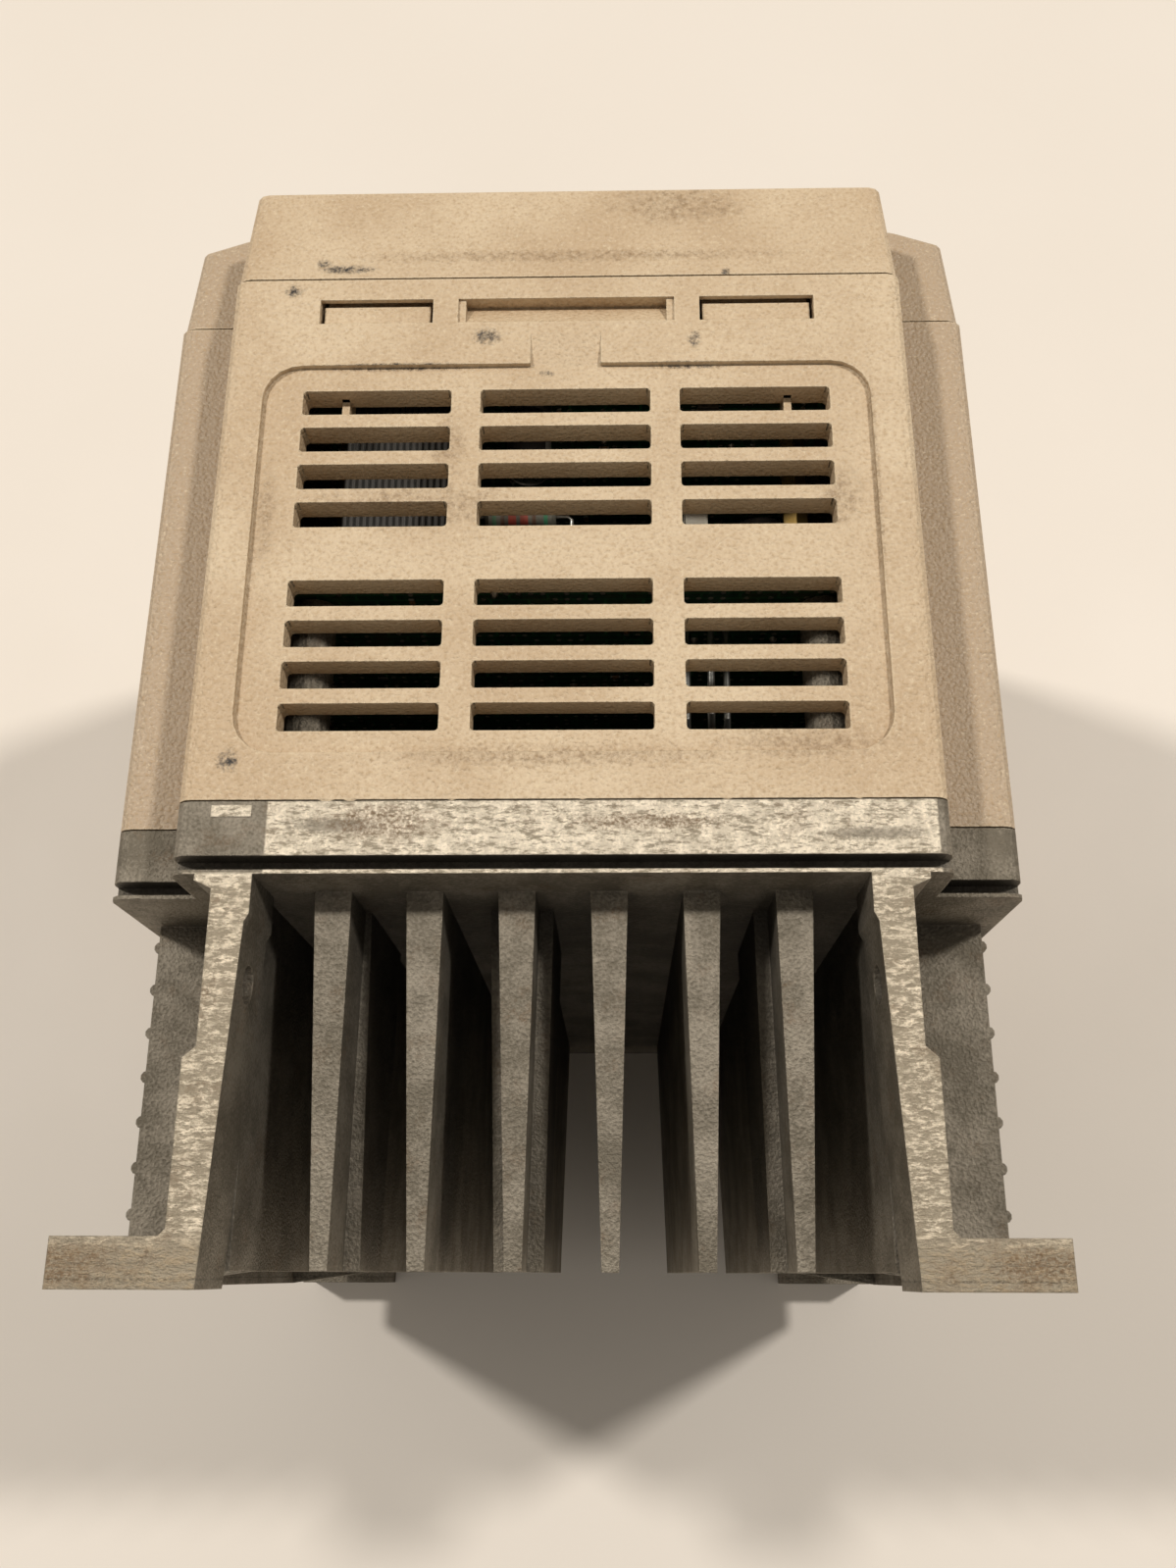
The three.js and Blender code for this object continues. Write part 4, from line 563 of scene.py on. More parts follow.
class Finish(Enum):
    """Every finish used on the drive, by what it is on the real piece."""

    # sand-textured skin: breaks up the light into a fine warm sparkle
    ABS = SandTexturedAbs()
    # dull grey casting against bright torn cutter marks
    CASTING = DieCastAluminium()
    # green film over copper: tracks and pads show as paler lines and dots
    BOARD = SolderMaskedBoard()
    # cast acrylic: smoky gloss that lets the digits show faintly
    WINDOW = SmokedAcrylic()
    # polybutylene moulded against a fine texture: near-black with a soft sheen
    DARK_PBT = EvenFinish("pbt_black_textured_moulding", "26282a", "3a3b3c", 0.5, 0.05, 0.48)
    # transfer-moulded epoxy: dead matt charcoal with pale dust
    EPOXY = EvenFinish("epoxy_transfer_moulded", "2f3032", "45464a", 0.7, 0.04, 0.62, dust=0.5)
    # heat-shrunk PVC: smooth, slightly wrinkled, with tight highlights
    SLEEVE = EvenFinish("pvc_shrunk_sleeve", "1b1e26", "2a2e38", 4.0, 0.05, 0.3, dust=0.15)
    # printed stripe on the sleeve: a flat pale band that marks the minus side
    SLEEVE_MARK = EvenFinish("pvc_sleeve_printed_stripe", "9fa3a6", "b9bcbd", 2.0, 0.03, 0.35)
    # deep-drawn aluminium: bright can end with drawing rings
    CAN_END = EvenFinish("aluminium_deep_drawn_can", "b9bbbc", "8f9193", 0.5, 0.03, 0.35, 1.0)
    # zinc-plated steel: bluish bright with cloudy patches
    ZINC = EvenFinish("steel_zinc_plated_screw", "b8bbbd", "8b8c88", 0.8, 0.03, 0.34, 1.0)
    # painted shade: a dark metallic fill that stands in for the shadow inside recesses, slots and
    # grooves
    SOCKET = EvenFinish("painted_recess_shade", "2e2d2b", "45433f", 0.5, 0.03, 0.6, 1.0)
    # turned brass: warm yellow, dulled by handling
    BRASS = EvenFinish("brass_turned_spacer", "b8974e", "8c6d33", 0.5, 0.03, 0.35, 1.0)
    # rolled copper half tinned: pink metal under grey streaks
    COPPER = EvenFinish("copper_tinned_bar", "b5704a", "b9b2a6", 3.0, 0.03, 0.38, 1.0)
    # reflowed solder: small bright beads that catch the light
    TIN = EvenFinish("tin_solder_reflowed", "c4c5c0", "9a9b97", 0.6, 0.05, 0.28, 1.0, dust=0.2)
    # compression-moulded phenolic: black, duller than the thermoplastics
    PHENOLIC = EvenFinish("phenolic_black_moulding", "1f2022", "333436", 0.8, 0.05, 0.52, dust=0.45)
    # glass-filled polyamide: flat mid green with a waxy sheen
    GREEN_PA = EvenFinish("polyamide_green_moulding", "2f7d4e", "256840", 0.6, 0.03, 0.48)
    # unpainted thermoplastic: off-white that has gathered grey dust
    WHITE_PBT = EvenFinish("pbt_white_moulding", "d3d0c4", "bdb9aa", 0.6, 0.03, 0.46, dust=0.45)
    # varnished polyester tape: amber and glossy, with the turns showing through
    TAPE = EvenFinish(
        "polyester_tape_varnished", "c49d38", "a57c24", 1.2, 0.1, 0.35, stretch=(0.1, 1.0, 1.0)
    )
    # stacked silicon-steel sheets: fine dark edges of each sheet
    LAMINATION = EvenFinish(
        "steel_stacked_laminations", "5b5751", "37332e", 0.5, 0.12, 0.5, 0.7,
        stretch=(0.02, 1.0, 0.02),
    )
    # dipped lacquer: a drab body with a soft orange-peel gloss
    LACQUER = EvenFinish("lacquer_flameproof_dipped", "54544c", "45463f", 0.6, 0.04, 0.4)
    # baked colour bands: thin glossy rings that stand out on the drab body
    BAND_RED = EvenFinish("lacquer_red_band", "9c2a1d", "7f2116", 0.6, 0.03, 0.35)
    BAND_BROWN = EvenFinish("lacquer_brown_band", "4a2716", "3a1d10", 0.6, 0.03, 0.35)
    BAND_GREEN = EvenFinish("lacquer_green_band", "1f6f4d", "195a3e", 0.6, 0.03, 0.35)
    # EPDM compression moulding: matt black with a grey bloom
    EPDM = EvenFinish("epdm_compression_moulded", "1d1d1d", "303030", 0.5, 0.05, 0.8, dust=0.4)
    # moulded silicone: keys with a dry, slightly powdery bloom
    SILICONE_GREY = EvenFinish("silicone_grey_key_mat", "6c7276", "5b6165", 0.5, 0.03, 0.6)
    SILICONE_GREEN = EvenFinish("silicone_green_key_mat", "2c7b4d", "256841", 0.5, 0.03, 0.6)
    SILICONE_RED = EvenFinish("silicone_red_key_mat", "a32d26", "88241e", 0.5, 0.03, 0.6)
    # screen-printed ink: crisp flat white
    PRINT = EvenFinish("ink_screen_printed_white", "dcdcd6", "c6c6bf", 0.5, 0.02, 0.5, dust=0.2)
    # cast epoxy lens: a small wet-looking red dome, unlit
    LED = EvenFinish("epoxy_led_lens", "7d1f16", "96382b", 1.5, 0.02, 0.2, dust=0.1, coat=0.5)
    # cast epoxy light guides: pale grey bars that ghost through the window
    SEGMENT = EvenFinish("epoxy_unlit_segment", "a39890", "b4aaa2", 1.0, 0.02, 0.3, dust=0.1)
    # PVC ribbon cable: parallel cords under a satin skin
    RIBBON = EvenFinish("pvc_ribbon_extruded", "141517", "1e2022", 1.0, 0.03, 0.4, dust=0.1)
    # fired ceramic: tan, matt and grainy
    CERAMIC = EvenFinish("ceramic_fired_chip", "8a6a4a", "75573a", 0.4, 0.03, 0.5)

    @property
    def material(self) -> bpy.types.Material:
        """The Blender material, made the first time that it is asked for."""
        made = bpy.data.materials.get(self.value.name)
        return made or self.value.build()


# ------------------------------------------------------------------ shape building


def facing(place: Vector, direction: Vector, roll: float = 0.0) -> Matrix:
    """A frame whose Z axis points along a direction.

    Args:
        place: Origin of the frame.
        direction: Where its Z axis points.
        roll: Turn about that axis, in radians.

    Returns:
        The 4x4 matrix.
    """
    turn = direction.to_track_quat("Z", "Y").to_matrix().to_4x4()
    return Matrix.Translation(place) @ turn @ Matrix.Rotation(roll, 4, "Z")


class Shape:
    """A mesh put together from rounded blocks, turned pieces, prisms and bent rods."""

    def __init__(self, name: str, *finishes: Finish) -> None:
        """Starts an empty mesh.

        Args:
            name: Name of the finished object.
            *finishes: Finishes, used by their number when a piece is added.
        """
        self.name = name
        self.finishes = finishes
        self.mesh = bmesh.new()

    def _tag(self, before: int, number: int) -> None:
        """Gives the faces added since a count one finish."""
        self.mesh.faces.ensure_lookup_table()
        for index in range(before, len(self.mesh.faces)):
            self.mesh.faces[index].material_index = number

    def block(
        self,
        low: Sequence[float],
        high: Sequence[float],
        rounding: float = 0.3 * MM,
        number: int = 0,
        segments: int = 2,
        matrix: Optional[Matrix] = None,
    ) -> "Shape":
        """Adds a block with rounded edges.

        Args:
            low: Lowest corner.
            high: Highest corner.
            rounding: Radius of its edges.
            number: Which finish it has.
            segments: Steps round each edge.
            matrix: Frame that the corners are given in, if not the row frame.

        Returns:
            The shape itself.
        """
        low_v, high_v = Vector(low), Vector(high)
        piece = bmesh.new()
        bmesh.ops.create_cube(piece, size=1.0)
        size = high_v - low_v
        bmesh.ops.scale(piece, vec=size, verts=piece.verts)
        bmesh.ops.translate(piece, vec=(low_v + high_v) / 2, verts=piece.verts)
        rounding = min(rounding, 0.45 * min(size))
        bmesh.ops.bevel(
            piece, geom=piece.edges, offset=rounding, segments=segments, affect="EDGES"
        )
        self._take(piece, number, matrix)
        return self

    def _take(
        self, piece: bmesh.types.BMesh, number: Optional[int], matrix: Optional[Matrix]
    ) -> None:
        """Moves a small mesh into the whole one.

        Args:
            piece: The small mesh, freed afterwards.
            number: Which finish it gets, or None where its faces have theirs.
            matrix: Frame that it is given in, if not the row frame.
        """
        if matrix is not None:
            bmesh.ops.transform(piece, matrix=matrix, verts=piece.verts)
        before = len(self.mesh.faces)
        spare = bpy.data.meshes.new("spare")
        piece.to_mesh(spare)
        piece.free()
        self.mesh.from_mesh(spare)
        bpy.data.meshes.remove(spare)
        if number is not None:
            self._tag(before, number)

    def turned(
        self,
        profile: Outline,
        matrix: Matrix,
        sides: int = 32,
        number: int = 0,
        choose: Optional[Callable[[int, int], int]] = None,
    ) -> "Shape":
        """Adds a piece turned about its Z axis, closed at both ends.

        Args:
            profile: Radius and height pairs, from one end to the other.
            matrix: Frame of the piece.
            sides: Sides round it.
            number: Which finish it has.
            choose: Finish number from the ring and the side, where it isn't all one.

        Returns:
            The shape itself.
        """
        piece = bmesh.new()
        rings = []
        for radius, height in profile:
            ring = []
            for side in range(sides):
                angle = 2.0 * math.pi * side / sides
                spot = (radius * math.cos(angle), radius * math.sin(angle), height)
                ring.append(piece.verts.new(spot))
            rings.append(ring)
        for index in range(len(rings) - 1):
            for side in range(sides):
                after = (side + 1) % sides
                corners = (
                    rings[index][side],
                    rings[index][after],
                    rings[index + 1][after],
                    rings[index + 1][side],
                )
                face = piece.faces.new(corners)
                face.material_index = choose(index, side) if choose else number
        for ring, turned_over in ((rings[0], True), (rings[-1], False)):
            face = piece.faces.new(list(reversed(ring)) if turned_over else ring)
            last = 0 if turned_over else len(rings) - 2
            face.material_index = choose(last, -1) if choose else number
        bmesh.ops.remove_doubles(piece, verts=piece.verts, dist=1e-7)
        self._take(piece, None, matrix)
        return self

    def rod(
        self, path: Sequence[Vector], radius: float, number: int = 0, sides: int = 10
    ) -> "Shape":
        """Adds a round rod along a path.

        Args:
            path: Points along its middle.
            radius: Its radius.
            number: Which finish it has.
            sides: Sides round it.

        Returns:
            The shape itself.
        """
        piece = bmesh.new()
        rings = []
        side_way = None
        for index, point in enumerate(path):
            ahead = path[min(index + 1, len(path) - 1)] - path[max(index - 1, 0)]
            ahead.normalize()
            if side_way is None:
                side_way = ahead.orthogonal().normalized()
            side_way = (side_way - ahead * side_way.dot(ahead)).normalized()
            other = ahead.cross(side_way)
            ring = []
            for side in range(sides):
                angle = 2.0 * math.pi * side / sides
                offset = side_way * math.cos(angle) + other * math.sin(angle)
                ring.append(piece.verts.new(point + offset * radius))
            rings.append(ring)
        for first, second in zip(rings, rings[1:]):
            for side in range(sides):
                after = (side + 1) % sides
                piece.faces.new((first[side], first[after], second[after], second[side]))
        piece.faces.new(list(reversed(rings[0])))
        piece.faces.new(rings[-1])
        self._take(piece, number, None)
        return self

    def prism(
        self, outline: Outline, thickness: float, matrix: Matrix, number: int = 0
    ) -> "Shape":
        """Adds a flat plate.

        Args:
            outline: Corners in the plate's own X and Y.
            thickness: How far it rises along its Z.
            matrix: Frame of the plate.
            number: Which finish it has.

        Returns:
            The shape itself.
        """
        piece = bmesh.new()
        low = [piece.verts.new((a, b, 0.0)) for a, b in outline]
        high = [piece.verts.new((a, b, thickness)) for a, b in outline]
        piece.faces.new(list(reversed(low)))
        piece.faces.new(high)
        for index in range(len(low)):
            after = (index + 1) % len(low)
            piece.faces.new((low[index], low[after], high[after], high[index]))
        bmesh.ops.recalc_face_normals(piece, faces=piece.faces)
        self._take(piece, number, matrix)
        return self

    def place(
        self, body: str, slot: str, replaces: Iterable[str] = (), sharp: float = 40.0
    ) -> bpy.types.Object:
        """Turns the shape into an object that rides a body.

        Args:
            body: CAD body that it rides.
            slot: Name of a material slot; not used.
            replaces: CAD nodes that it stands for.
            sharp: Angle in degrees above which an edge stays crisp.

        Returns:
            The object.
        """
        for face in self.mesh.faces:
            face.smooth = True
        for edge in self.mesh.edges:
            if len(edge.link_faces) == 2:
                edge.smooth = edge.calc_face_angle(0.0) < math.radians(sharp)
        mesh = bpy.data.meshes.new(self.name)
        self.mesh.to_mesh(mesh)
        self.mesh.free()
        for finish in self.finishes:
            mesh.materials.append(finish.material)
        made = bpy.data.objects.new(self.name, mesh)
        bpy.context.scene.collection.objects.link(made)
        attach(made, body)
        names = list(replaces)
        if names:
            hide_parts(*names)
        LOG.info("%s: %d faces on %s", self.name, len(mesh.polygons), body)
        return made


def back_middle(low: Vector, high: Vector) -> Vector:
    """The middle of the side of a box that faces the wall."""
    return Vector(((low.x + high.x) / 2, high.y, (low.z + high.z) / 2))


def dress(node: str, finish: Finish) -> None:
    """Gives a CAD node its finish.

    Args:
        node: Name of the node.
        finish: The finish that it wears.
    """
    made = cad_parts[node]
    made.data.materials.clear()
    made.data.materials.append(finish.material)
    for face in made.data.polygons:
        face.material_index = 0
    LOG.info("%s wears %s", node, finish.value.name)


def arc(
    centre: Tuple[float, float], radius: float, start: float, end: float, steps: int = 12
) -> List[Tuple[float, float]]:
    """Points along an arc.

    Args:
        centre: Middle of the arc.
        radius: Its radius.
        start: First angle in degrees.
        end: Last angle in degrees.
        steps: Pieces that it is cut into.

    Returns:
        The points, in order.
    """
    points = []
    for step in range(steps + 1):
        angle = math.radians(start + (end - start) * step / steps)
        points.append(
            (centre[0] + radius * math.cos(angle), centre[1] + radius * math.sin(angle))
        )
    return points


# ------------------------------------------------------------------ shell and casting


@dataclass
class Shell:
    """Louvred housing, both covers and the cable entry, all in cream ABS."""

    nodes: Tuple[str, ...] = ("housing", "front_cover", "terminal_cover", "cable_entry_plate")
    flash_places_mm: Tuple[Tuple[float, float, float], ...] = (
        (44.2, 3.2, 0.34),
        (39.6, 2.4, 0.4),
        (20.5, 1.6, 0.22),
        (-4.0, 1.3, 0.18),
        (-31.0, 2.0, 0.2),
        (-55.5, 1.4, 0.25),
    )
    joint_y: float = 31.72 * MM
    top: float = 223.0 * MM

    def build(self) -> None:
        """Dresses the mouldings and adds the torn flash along the joint."""
        for node in self.nodes:
            dress(node, Finish.ABS)
        chips = Shape("joint_flash", Finish.ABS)
        rng = random.Random(5)
        for x_mm, length_mm, height_mm in self.flash_places_mm:
            steps = 7
            lower = []
            for step in range(steps + 1):
                along = (step / steps - 0.5) * length_mm
                reach = height_mm * math.sin(math.pi * step / steps) * rng.uniform(0.6, 1.2)
                lower.append((along * MM, max(reach, 0.02) * MM))
            half = 0.5 * length_mm * MM
            outline = lower + [(half, -0.2 * MM), (-half, -0.2 * MM)]
            spot = (x_mm * MM, self.joint_y - 0.25 * MM, self.top - 0.45 * MM)
            matrix = Matrix.Translation(spot)
            chips.prism(outline, 0.4 * MM, matrix)
        chips.place(BODY, "cream_plastic")


@dataclass
class LouvreFrames:
    """Ribs that deepen each louvre inside the end wall, and the small radii at its corners."""

    columns: Tuple[Tuple[float, float], ...] = (
        (-55.0 * MM, -23.825 * MM),
        (-17.725 * MM, 17.725 * MM),
        (23.825 * MM, 55.0 * MM),
    )
    front_rows: float = -53.71 * MM
    rear_rows: float = 17.2 * MM
    pitch: float = 8.86 * MM
    slot: float = 5.74 * MM
    rows: int = 4
    panel: float = 221.8 * MM
    wall_inside: float = 218.8 * MM
    rib_end: float = 215.9 * MM
    rib: float = 1.1 * MM
    corner: float = 0.8 * MM

    def _corners(self, frames: Shape, x0: float, x1: float, y0: float, y1: float) -> None:
        """Fills the four corners of a louvre with a small radius."""
        r = self.corner
        for x, along in ((x0, 1.0), (x1, -1.0)):
            for y, across in ((y0, 1.0), (y1, -1.0)):
                outline = [(x, y), (x + along * r, y)]
                for step in range(1, 5):
                    angle = math.radians(90.0 * step / 4)
                    reach = (r - r * math.sin(angle), r - r * math.cos(angle))
                    outline.append((x + along * reach[0], y + across * reach[1]))
                if along * across < 0.0:
                    outline.reverse()
                height = self.panel - self.rib_end
                frames.prism(outline, height, Matrix.Translation((0.0, 0.0, self.rib_end)))

    def build(self) -> None:
        """Builds the ribs and corners of all the louvres."""
        frames = Shape("louvre_frames", Finish.ABS)
        starts = []
        for row in range(self.rows):
            front = self.front_rows + row * self.pitch
            starts.append((front - self.slot, front))
            rear = self.rear_rows - row * self.pitch
            starts.append((rear - self.slot, rear))
        top = self.wall_inside + 0.1 * MM
        for y0, y1 in starts:
            for x0, x1 in self.columns:
                t = self.rib
                for low, high in (
                    ((x0 - t, y0 - t), (x1 + t, y0)),
                    ((x0 - t, y1), (x1 + t, y1 + t)),
                    ((x0 - t, y0), (x0, y1)),
                    ((x1, y0), (x1 + t, y1)),
                ):
                    frames.block((*low, self.rib_end), (*high, top), 0.05 * MM, 0, 1)
                self._corners(frames, x0, x1, y0, y1)
        frames.place(BODY, "cream_plastic")


@dataclass
class Casting:
    """The finned heat sink: cast skin, milled ends, parting ribs, ejector marks and gasket."""

    foot_y: float = 113.7 * MM
    foot_x: Tuple[float, float] = (69.0 * MM, 86.2 * MM)
    end_z: float = 223.0 * MM
    pad_x: Tuple[float, float] = (57.8 * MM, 65.8 * MM)
    pad_y: Tuple[float, float] = (32.3 * MM, 35.0 * MM)
    ejector_radius: float = 3.0 * MM
    ejector_place: Tuple[float, float] = (70.5 * MM, 45.7 * MM)
    ejector_heights: Tuple[float, ...] = (60.0 * MM, 111.5 * MM, 163.0 * MM)
    gasket: float = 0.22 * MM
    gasket_y: float = 31.6 * MM

    def _parting_ribs(self) -> None:
        """Thin ribs of flash where the die halves met, along the feet."""
        ribs = Shape("parting_ribs", Finish.CASTING)
        rng = random.Random(11)
        for side in (-1.0, 1.0):
            for z in (self.end_z - 0.06 * MM, 0.13 * MM):
                x = self.foot_x[0]
                while x < self.foot_x[1] - 1.0 * MM:
                    length = rng.uniform(1.2, 3.4) * MM
                    far = min(x + length, self.foot_x[1])
                    low = (min(side * x, side * far), self.foot_y, z - 0.12 * MM)
                    high = (max(side * x, side * far), self.foot_y + 0.35 * MM, z + 0.12 * MM)
                    ribs.block(low, high, 0.08 * MM)
                    x = far + rng.uniform(0.1, 0.8) * MM
        ribs.place(BODY, "cast_aluminium")

    def _raised_pad(self) -> None:
        """Low pad at one end of the bar, left proud by the cutter."""
        pad = Shape("bar_pad", Finish.CASTING)
        pad.block(
            (self.pad_x[0], self.pad_y[0], self.end_z - 0.3 * MM),
            (self.pad_x[1], self.pad_y[1], self.end_z + 0.12 * MM),
            0.25 * MM,
            segments=3,
        )
        pad.place(BODY, "cast_aluminium")

    def _ejector_marks(self) -> None:
        """Round marks of the ejector pins on the rear of the base plate."""
        marks = Shape("ejector_marks", Finish.CASTING)
        radius = self.ejector_radius
        for side in (-1.0, 1.0):
            for z in self.ejector_heights:
                x, y = self.ejector_place
                matrix = facing(Vector((side * x, y, z)), -FRONT)
                profile = [(radius, 0.0), (radius, 0.3 * MM), (radius * 0.9, 0.45 * MM)]
                profile += [(radius * 0.85, 0.25 * MM), (0.0, 0.25 * MM)]
                marks.turned(profile, matrix, 24)
        marks.place(BODY, "cast_aluminium")

    def _gasket(self) -> None:
        """Beads of sealant squeezed out along the joint under the housing."""
        bead = Shape("joint_sealant", Finish.EPDM)
        rng = random.Random(3)
        for z, outward in ((self.end_z, 1.0), (0.0, -1.0)):
            path = []
            for step in range(73):
                x = (-69.0 + 138.0 * step / 72) * MM
                sag = rng.uniform(0.0, 0.25) * MM
                path.append(Vector((x, self.gasket_y, z - outward * (0.65 * MM + sag))))
            bead.rod(path, self.gasket, 0, 8)
        for side in (-1.0, 1.0):
            path = []
            for step in range(61):
                z = (22.0 + 179.0 * step / 60) * MM
                sag = rng.uniform(0.0, 0.2) * MM
                path.append(Vector((side * (89.3 * MM - sag), self.gasket_y, z)))
            bead.rod(path, self.gasket, 0, 8)
        bead.place(BODY, "black_rubber")

    def build(self) -> None:
        """Dresses the casting and adds its small marks."""
        dress("heat_sink", Finish.CASTING)
        self._parting_ribs()
        self._raised_pad()
        self._ejector_marks()
        self._gasket()


@dataclass
class CableEntry:
    """Blind rubber grommets with a stepped membrane that is cut for each cable."""

    nodes: Tuple[str, ...] = ("grommet_1", "grommet_2", "grommet_3")
    steps: int = 4

    def build(self) -> None:
        """Makes the three grommets."""
        for node in self.nodes:
            low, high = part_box(node)
            centre = (low + high) / 2
            outer = (high.x - low.x) / 2
            neck = outer - 2.5 * MM
            rise = high.z - low.z
            profile = [(0.0, 0.9 * MM)]
            for step in range(self.steps):
                radius = neck * (0.2 + 0.17 * step)
                height = (0.9 + 0.16 * step) * MM
                profile += [(radius - 0.5 * MM, height), (radius, height + 0.3 * MM)]
                profile += [(radius + 0.4 * MM, height + 0.1 * MM)]
            profile += [
                (neck - 2.0 * MM, 0.9 * MM),
                (neck - 1.8 * MM, 0.3 * MM),
                (neck - 1.0 * MM, 0.0),
                (neck, 0.4 * MM),
                (neck, rise - 1.5 * MM),
                (outer - 0.4 * MM, rise - 1.5 * MM),
                (outer, rise - 1.1 * MM),
                (outer, rise - 0.4 * MM),
                (outer - 0.4 * MM, rise),
                (neck - 1.8 * MM, rise),
                (neck - 2.2 * MM, rise - 1.4 * MM),
                (0.0, 2.3 * MM),
            ]
            shape = Shape(f"{node}_rubber", Finish.EPDM)
            shape.turned(profile, Matrix.Translation((centre.x, centre.y, low.z)), 48)
            shape.place(BODY, "black_rubber", [node])


# ------------------------------------------------------------------ electronics


class Facing(Enum):
    """Which way a board's face looks."""

    TO_FRONT = -1.0
    TO_WALL = 1.0


@dataclass
class CanCapacitor:
    """Electrolytic capacitor: shrunk sleeve, rolled neck, and a scored aluminium end."""

    node: str
    crimp: float = 0.6 * MM
    sides: int = 36
    stripe_sides: int = 4
    stripe_turn: int = 0
    length_share: float = 1.0

    def build(self) -> None:
        """Makes the capacitor in place of its plain can."""
        low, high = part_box(self.node)
        radius = (high.x - low.x) / 2
        matrix = facing(back_middle(low, high), FRONT)
        self.stand(radius, (high.y - low.y) * self.length_share, matrix, [self.node])

    def stand(self, radius: float, length: float, matrix: Matrix, replaces: Sequence[str]) -> None:
        """Makes a capacitor of a given size.

        Args:
            radius: Radius of the can.
            length: Its height above the board.
            matrix: Frame of its base, Z along the can.
            replaces: Nodes that it stands for.
        """
        neck = min(4.0 * MM, 0.2 * length)
        profile = [
            (radius * 0.9, 0.0),
            (radius, 0.6 * MM),
            (radius, neck - 0.8 * MM),
            (radius - self.crimp, neck),
            (radius, neck + 0.8 * MM),
            (radius, length - 1.0 * MM),
            (radius - 0.35 * MM, length - 0.35 * MM),
            (radius * 0.84, length - 0.1 * MM),
            (radius * 0.82, length - 0.5 * MM),
            (0.0, length - 0.45 * MM),
        ]

        def choose(ring: int, side: int) -> int:
            """Sleeve, its stripe, or the bare end."""
            if ring >= 7:
                return 2
            striped = (side - self.stripe_turn) % self.sides < self.stripe_sides
            return 1 if striped and ring in (3, 4) else 0

        shape = Shape(
            f"{self.node}_can", Finish.SLEEVE, Finish.SLEEVE_MARK, Finish.CAN_END, Finish.SOCKET
        )
        shape.turned(profile, matrix, self.sides, choose=choose)
        # painted shade: dark grooves across the can end stand in for the shade in its scoring
        groove = radius * 0.62
        for turn in (0.0, 60.0, 120.0):
            spun = matrix @ Matrix.Rotation(math.radians(turn), 4, "Z")
            shape.block(
                (-groove, -0.18 * MM, length - 0.62 * MM),
                (groove, 0.18 * MM, length - 0.4 * MM),
                0.05 * MM,
                3,
                1,
                spun,
            )
        shape.place(BODY, "capacitor_sleeve", replaces)


@dataclass
class BandedResistor:
    """Power resistor with a bulged, dipped body, colour bands and bent wires."""

    node: str = "charge_resistor"
    board_gap: float = 4.6 * MM

    def build(self) -> None:
        """Makes the resistor in place of its plain body."""
        low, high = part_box(self.node)
        half = (high.x - low.x) / 2 - 5.0 * MM
        self.lay((low + high) / 2, (high.z - low.z) / 2, half, [self.node])

    def lay(self, centre: Vector, radius: float, half: float, replaces: Sequence[str]) -> None:
        """Makes a resistor of a given size.

        Args:
            centre: Middle of the body.
            radius: Radius of its ends.
            half: Half the length of the body.
            replaces: Nodes that it stands for.
        """
        matrix = facing(centre, Vector((1.0, 0.0, 0.0)))
        profile, number = [], []
        bands = {2: 3, 5: 2, 7: 1, 8: 1, 10: 1, 11: 1, 13: 2, 15: 3}
        steps = 18
        for step in range(steps + 1):
            share = step / steps
            along = (share - 0.5) * 2.0 * half
            bulge = 1.0 if share < 0.2 or share > 0.8 else 0.87
            ease = 0.72 if step in (0, steps) else 1.0
            profile.append((radius * bulge * ease, along))
            number.append(bands.get(step, 0))
        shape = Shape(
            f"{self.node}_body",
            Finish.LACQUER,
            Finish.BAND_RED,
            Finish.BAND_BROWN,
            Finish.BAND_GREEN,
            Finish.TIN,
        )
        shape.turned(profile, matrix, 28, choose=lambda ring, side: number[min(ring, steps)])
        for side in (-1.0, 1.0):
            start = centre + Vector((side * half * 0.96, 0.0, 0.0))
            bend = centre + Vector((side * (half + 3.4 * MM), 0.0, 0.0))
            path = [start, bend - Vector((side * 0.8 * MM, 0.0, 0.0))]
            path.append(bend + Vector((0.0, 0.8 * MM, 0.0)))
            path.append(bend + Vector((0.0, self.board_gap, 0.0)))
            shape.rod(path, 0.45 * MM, 4)
        shape.place(BODY, "resistor_lacquer", replaces)


@dataclass
class CrossScrew:
    """Pan-head screw with a cross recess."""

    node: str
    slot: str = "zinc_steel"

    def build(self) -> None:
        """Makes the screw head over its plain disc."""
        low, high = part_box(self.node)
        radius = (high.x - low.x) / 2
        height = high.y - low.y
        matrix = facing(back_middle(low, high), FRONT)
        profile = [
            (radius * 0.98, 0.0),
            (radius, height * 0.15),
            (radius, height * 0.42),
            (radius * 0.92, height * 0.7),
            (radius * 0.7, height * 0.92),
            (radius * 0.35, height),
            (0.0, height),
        ]
        shape = Shape(f"{self.node}_head", Finish.ZINC, Finish.SOCKET)
        shape.turned(profile, matrix, 32)
        # painted shade: the cross is a dark block, standing in for the shadow inside the recess
        for turn in (0.0, 90.0):
            spun = matrix @ Matrix.Rotation(math.radians(turn + 17.0), 4, "Z")
            shape.block(
                (-radius * 0.56, -radius * 0.12, height * 0.7),
                (radius * 0.56, radius * 0.12, height * 1.01),
                0.1 * MM,
                1,
                1,
                spun,
            )
        shape.place(BODY, self.slot, [self.node])


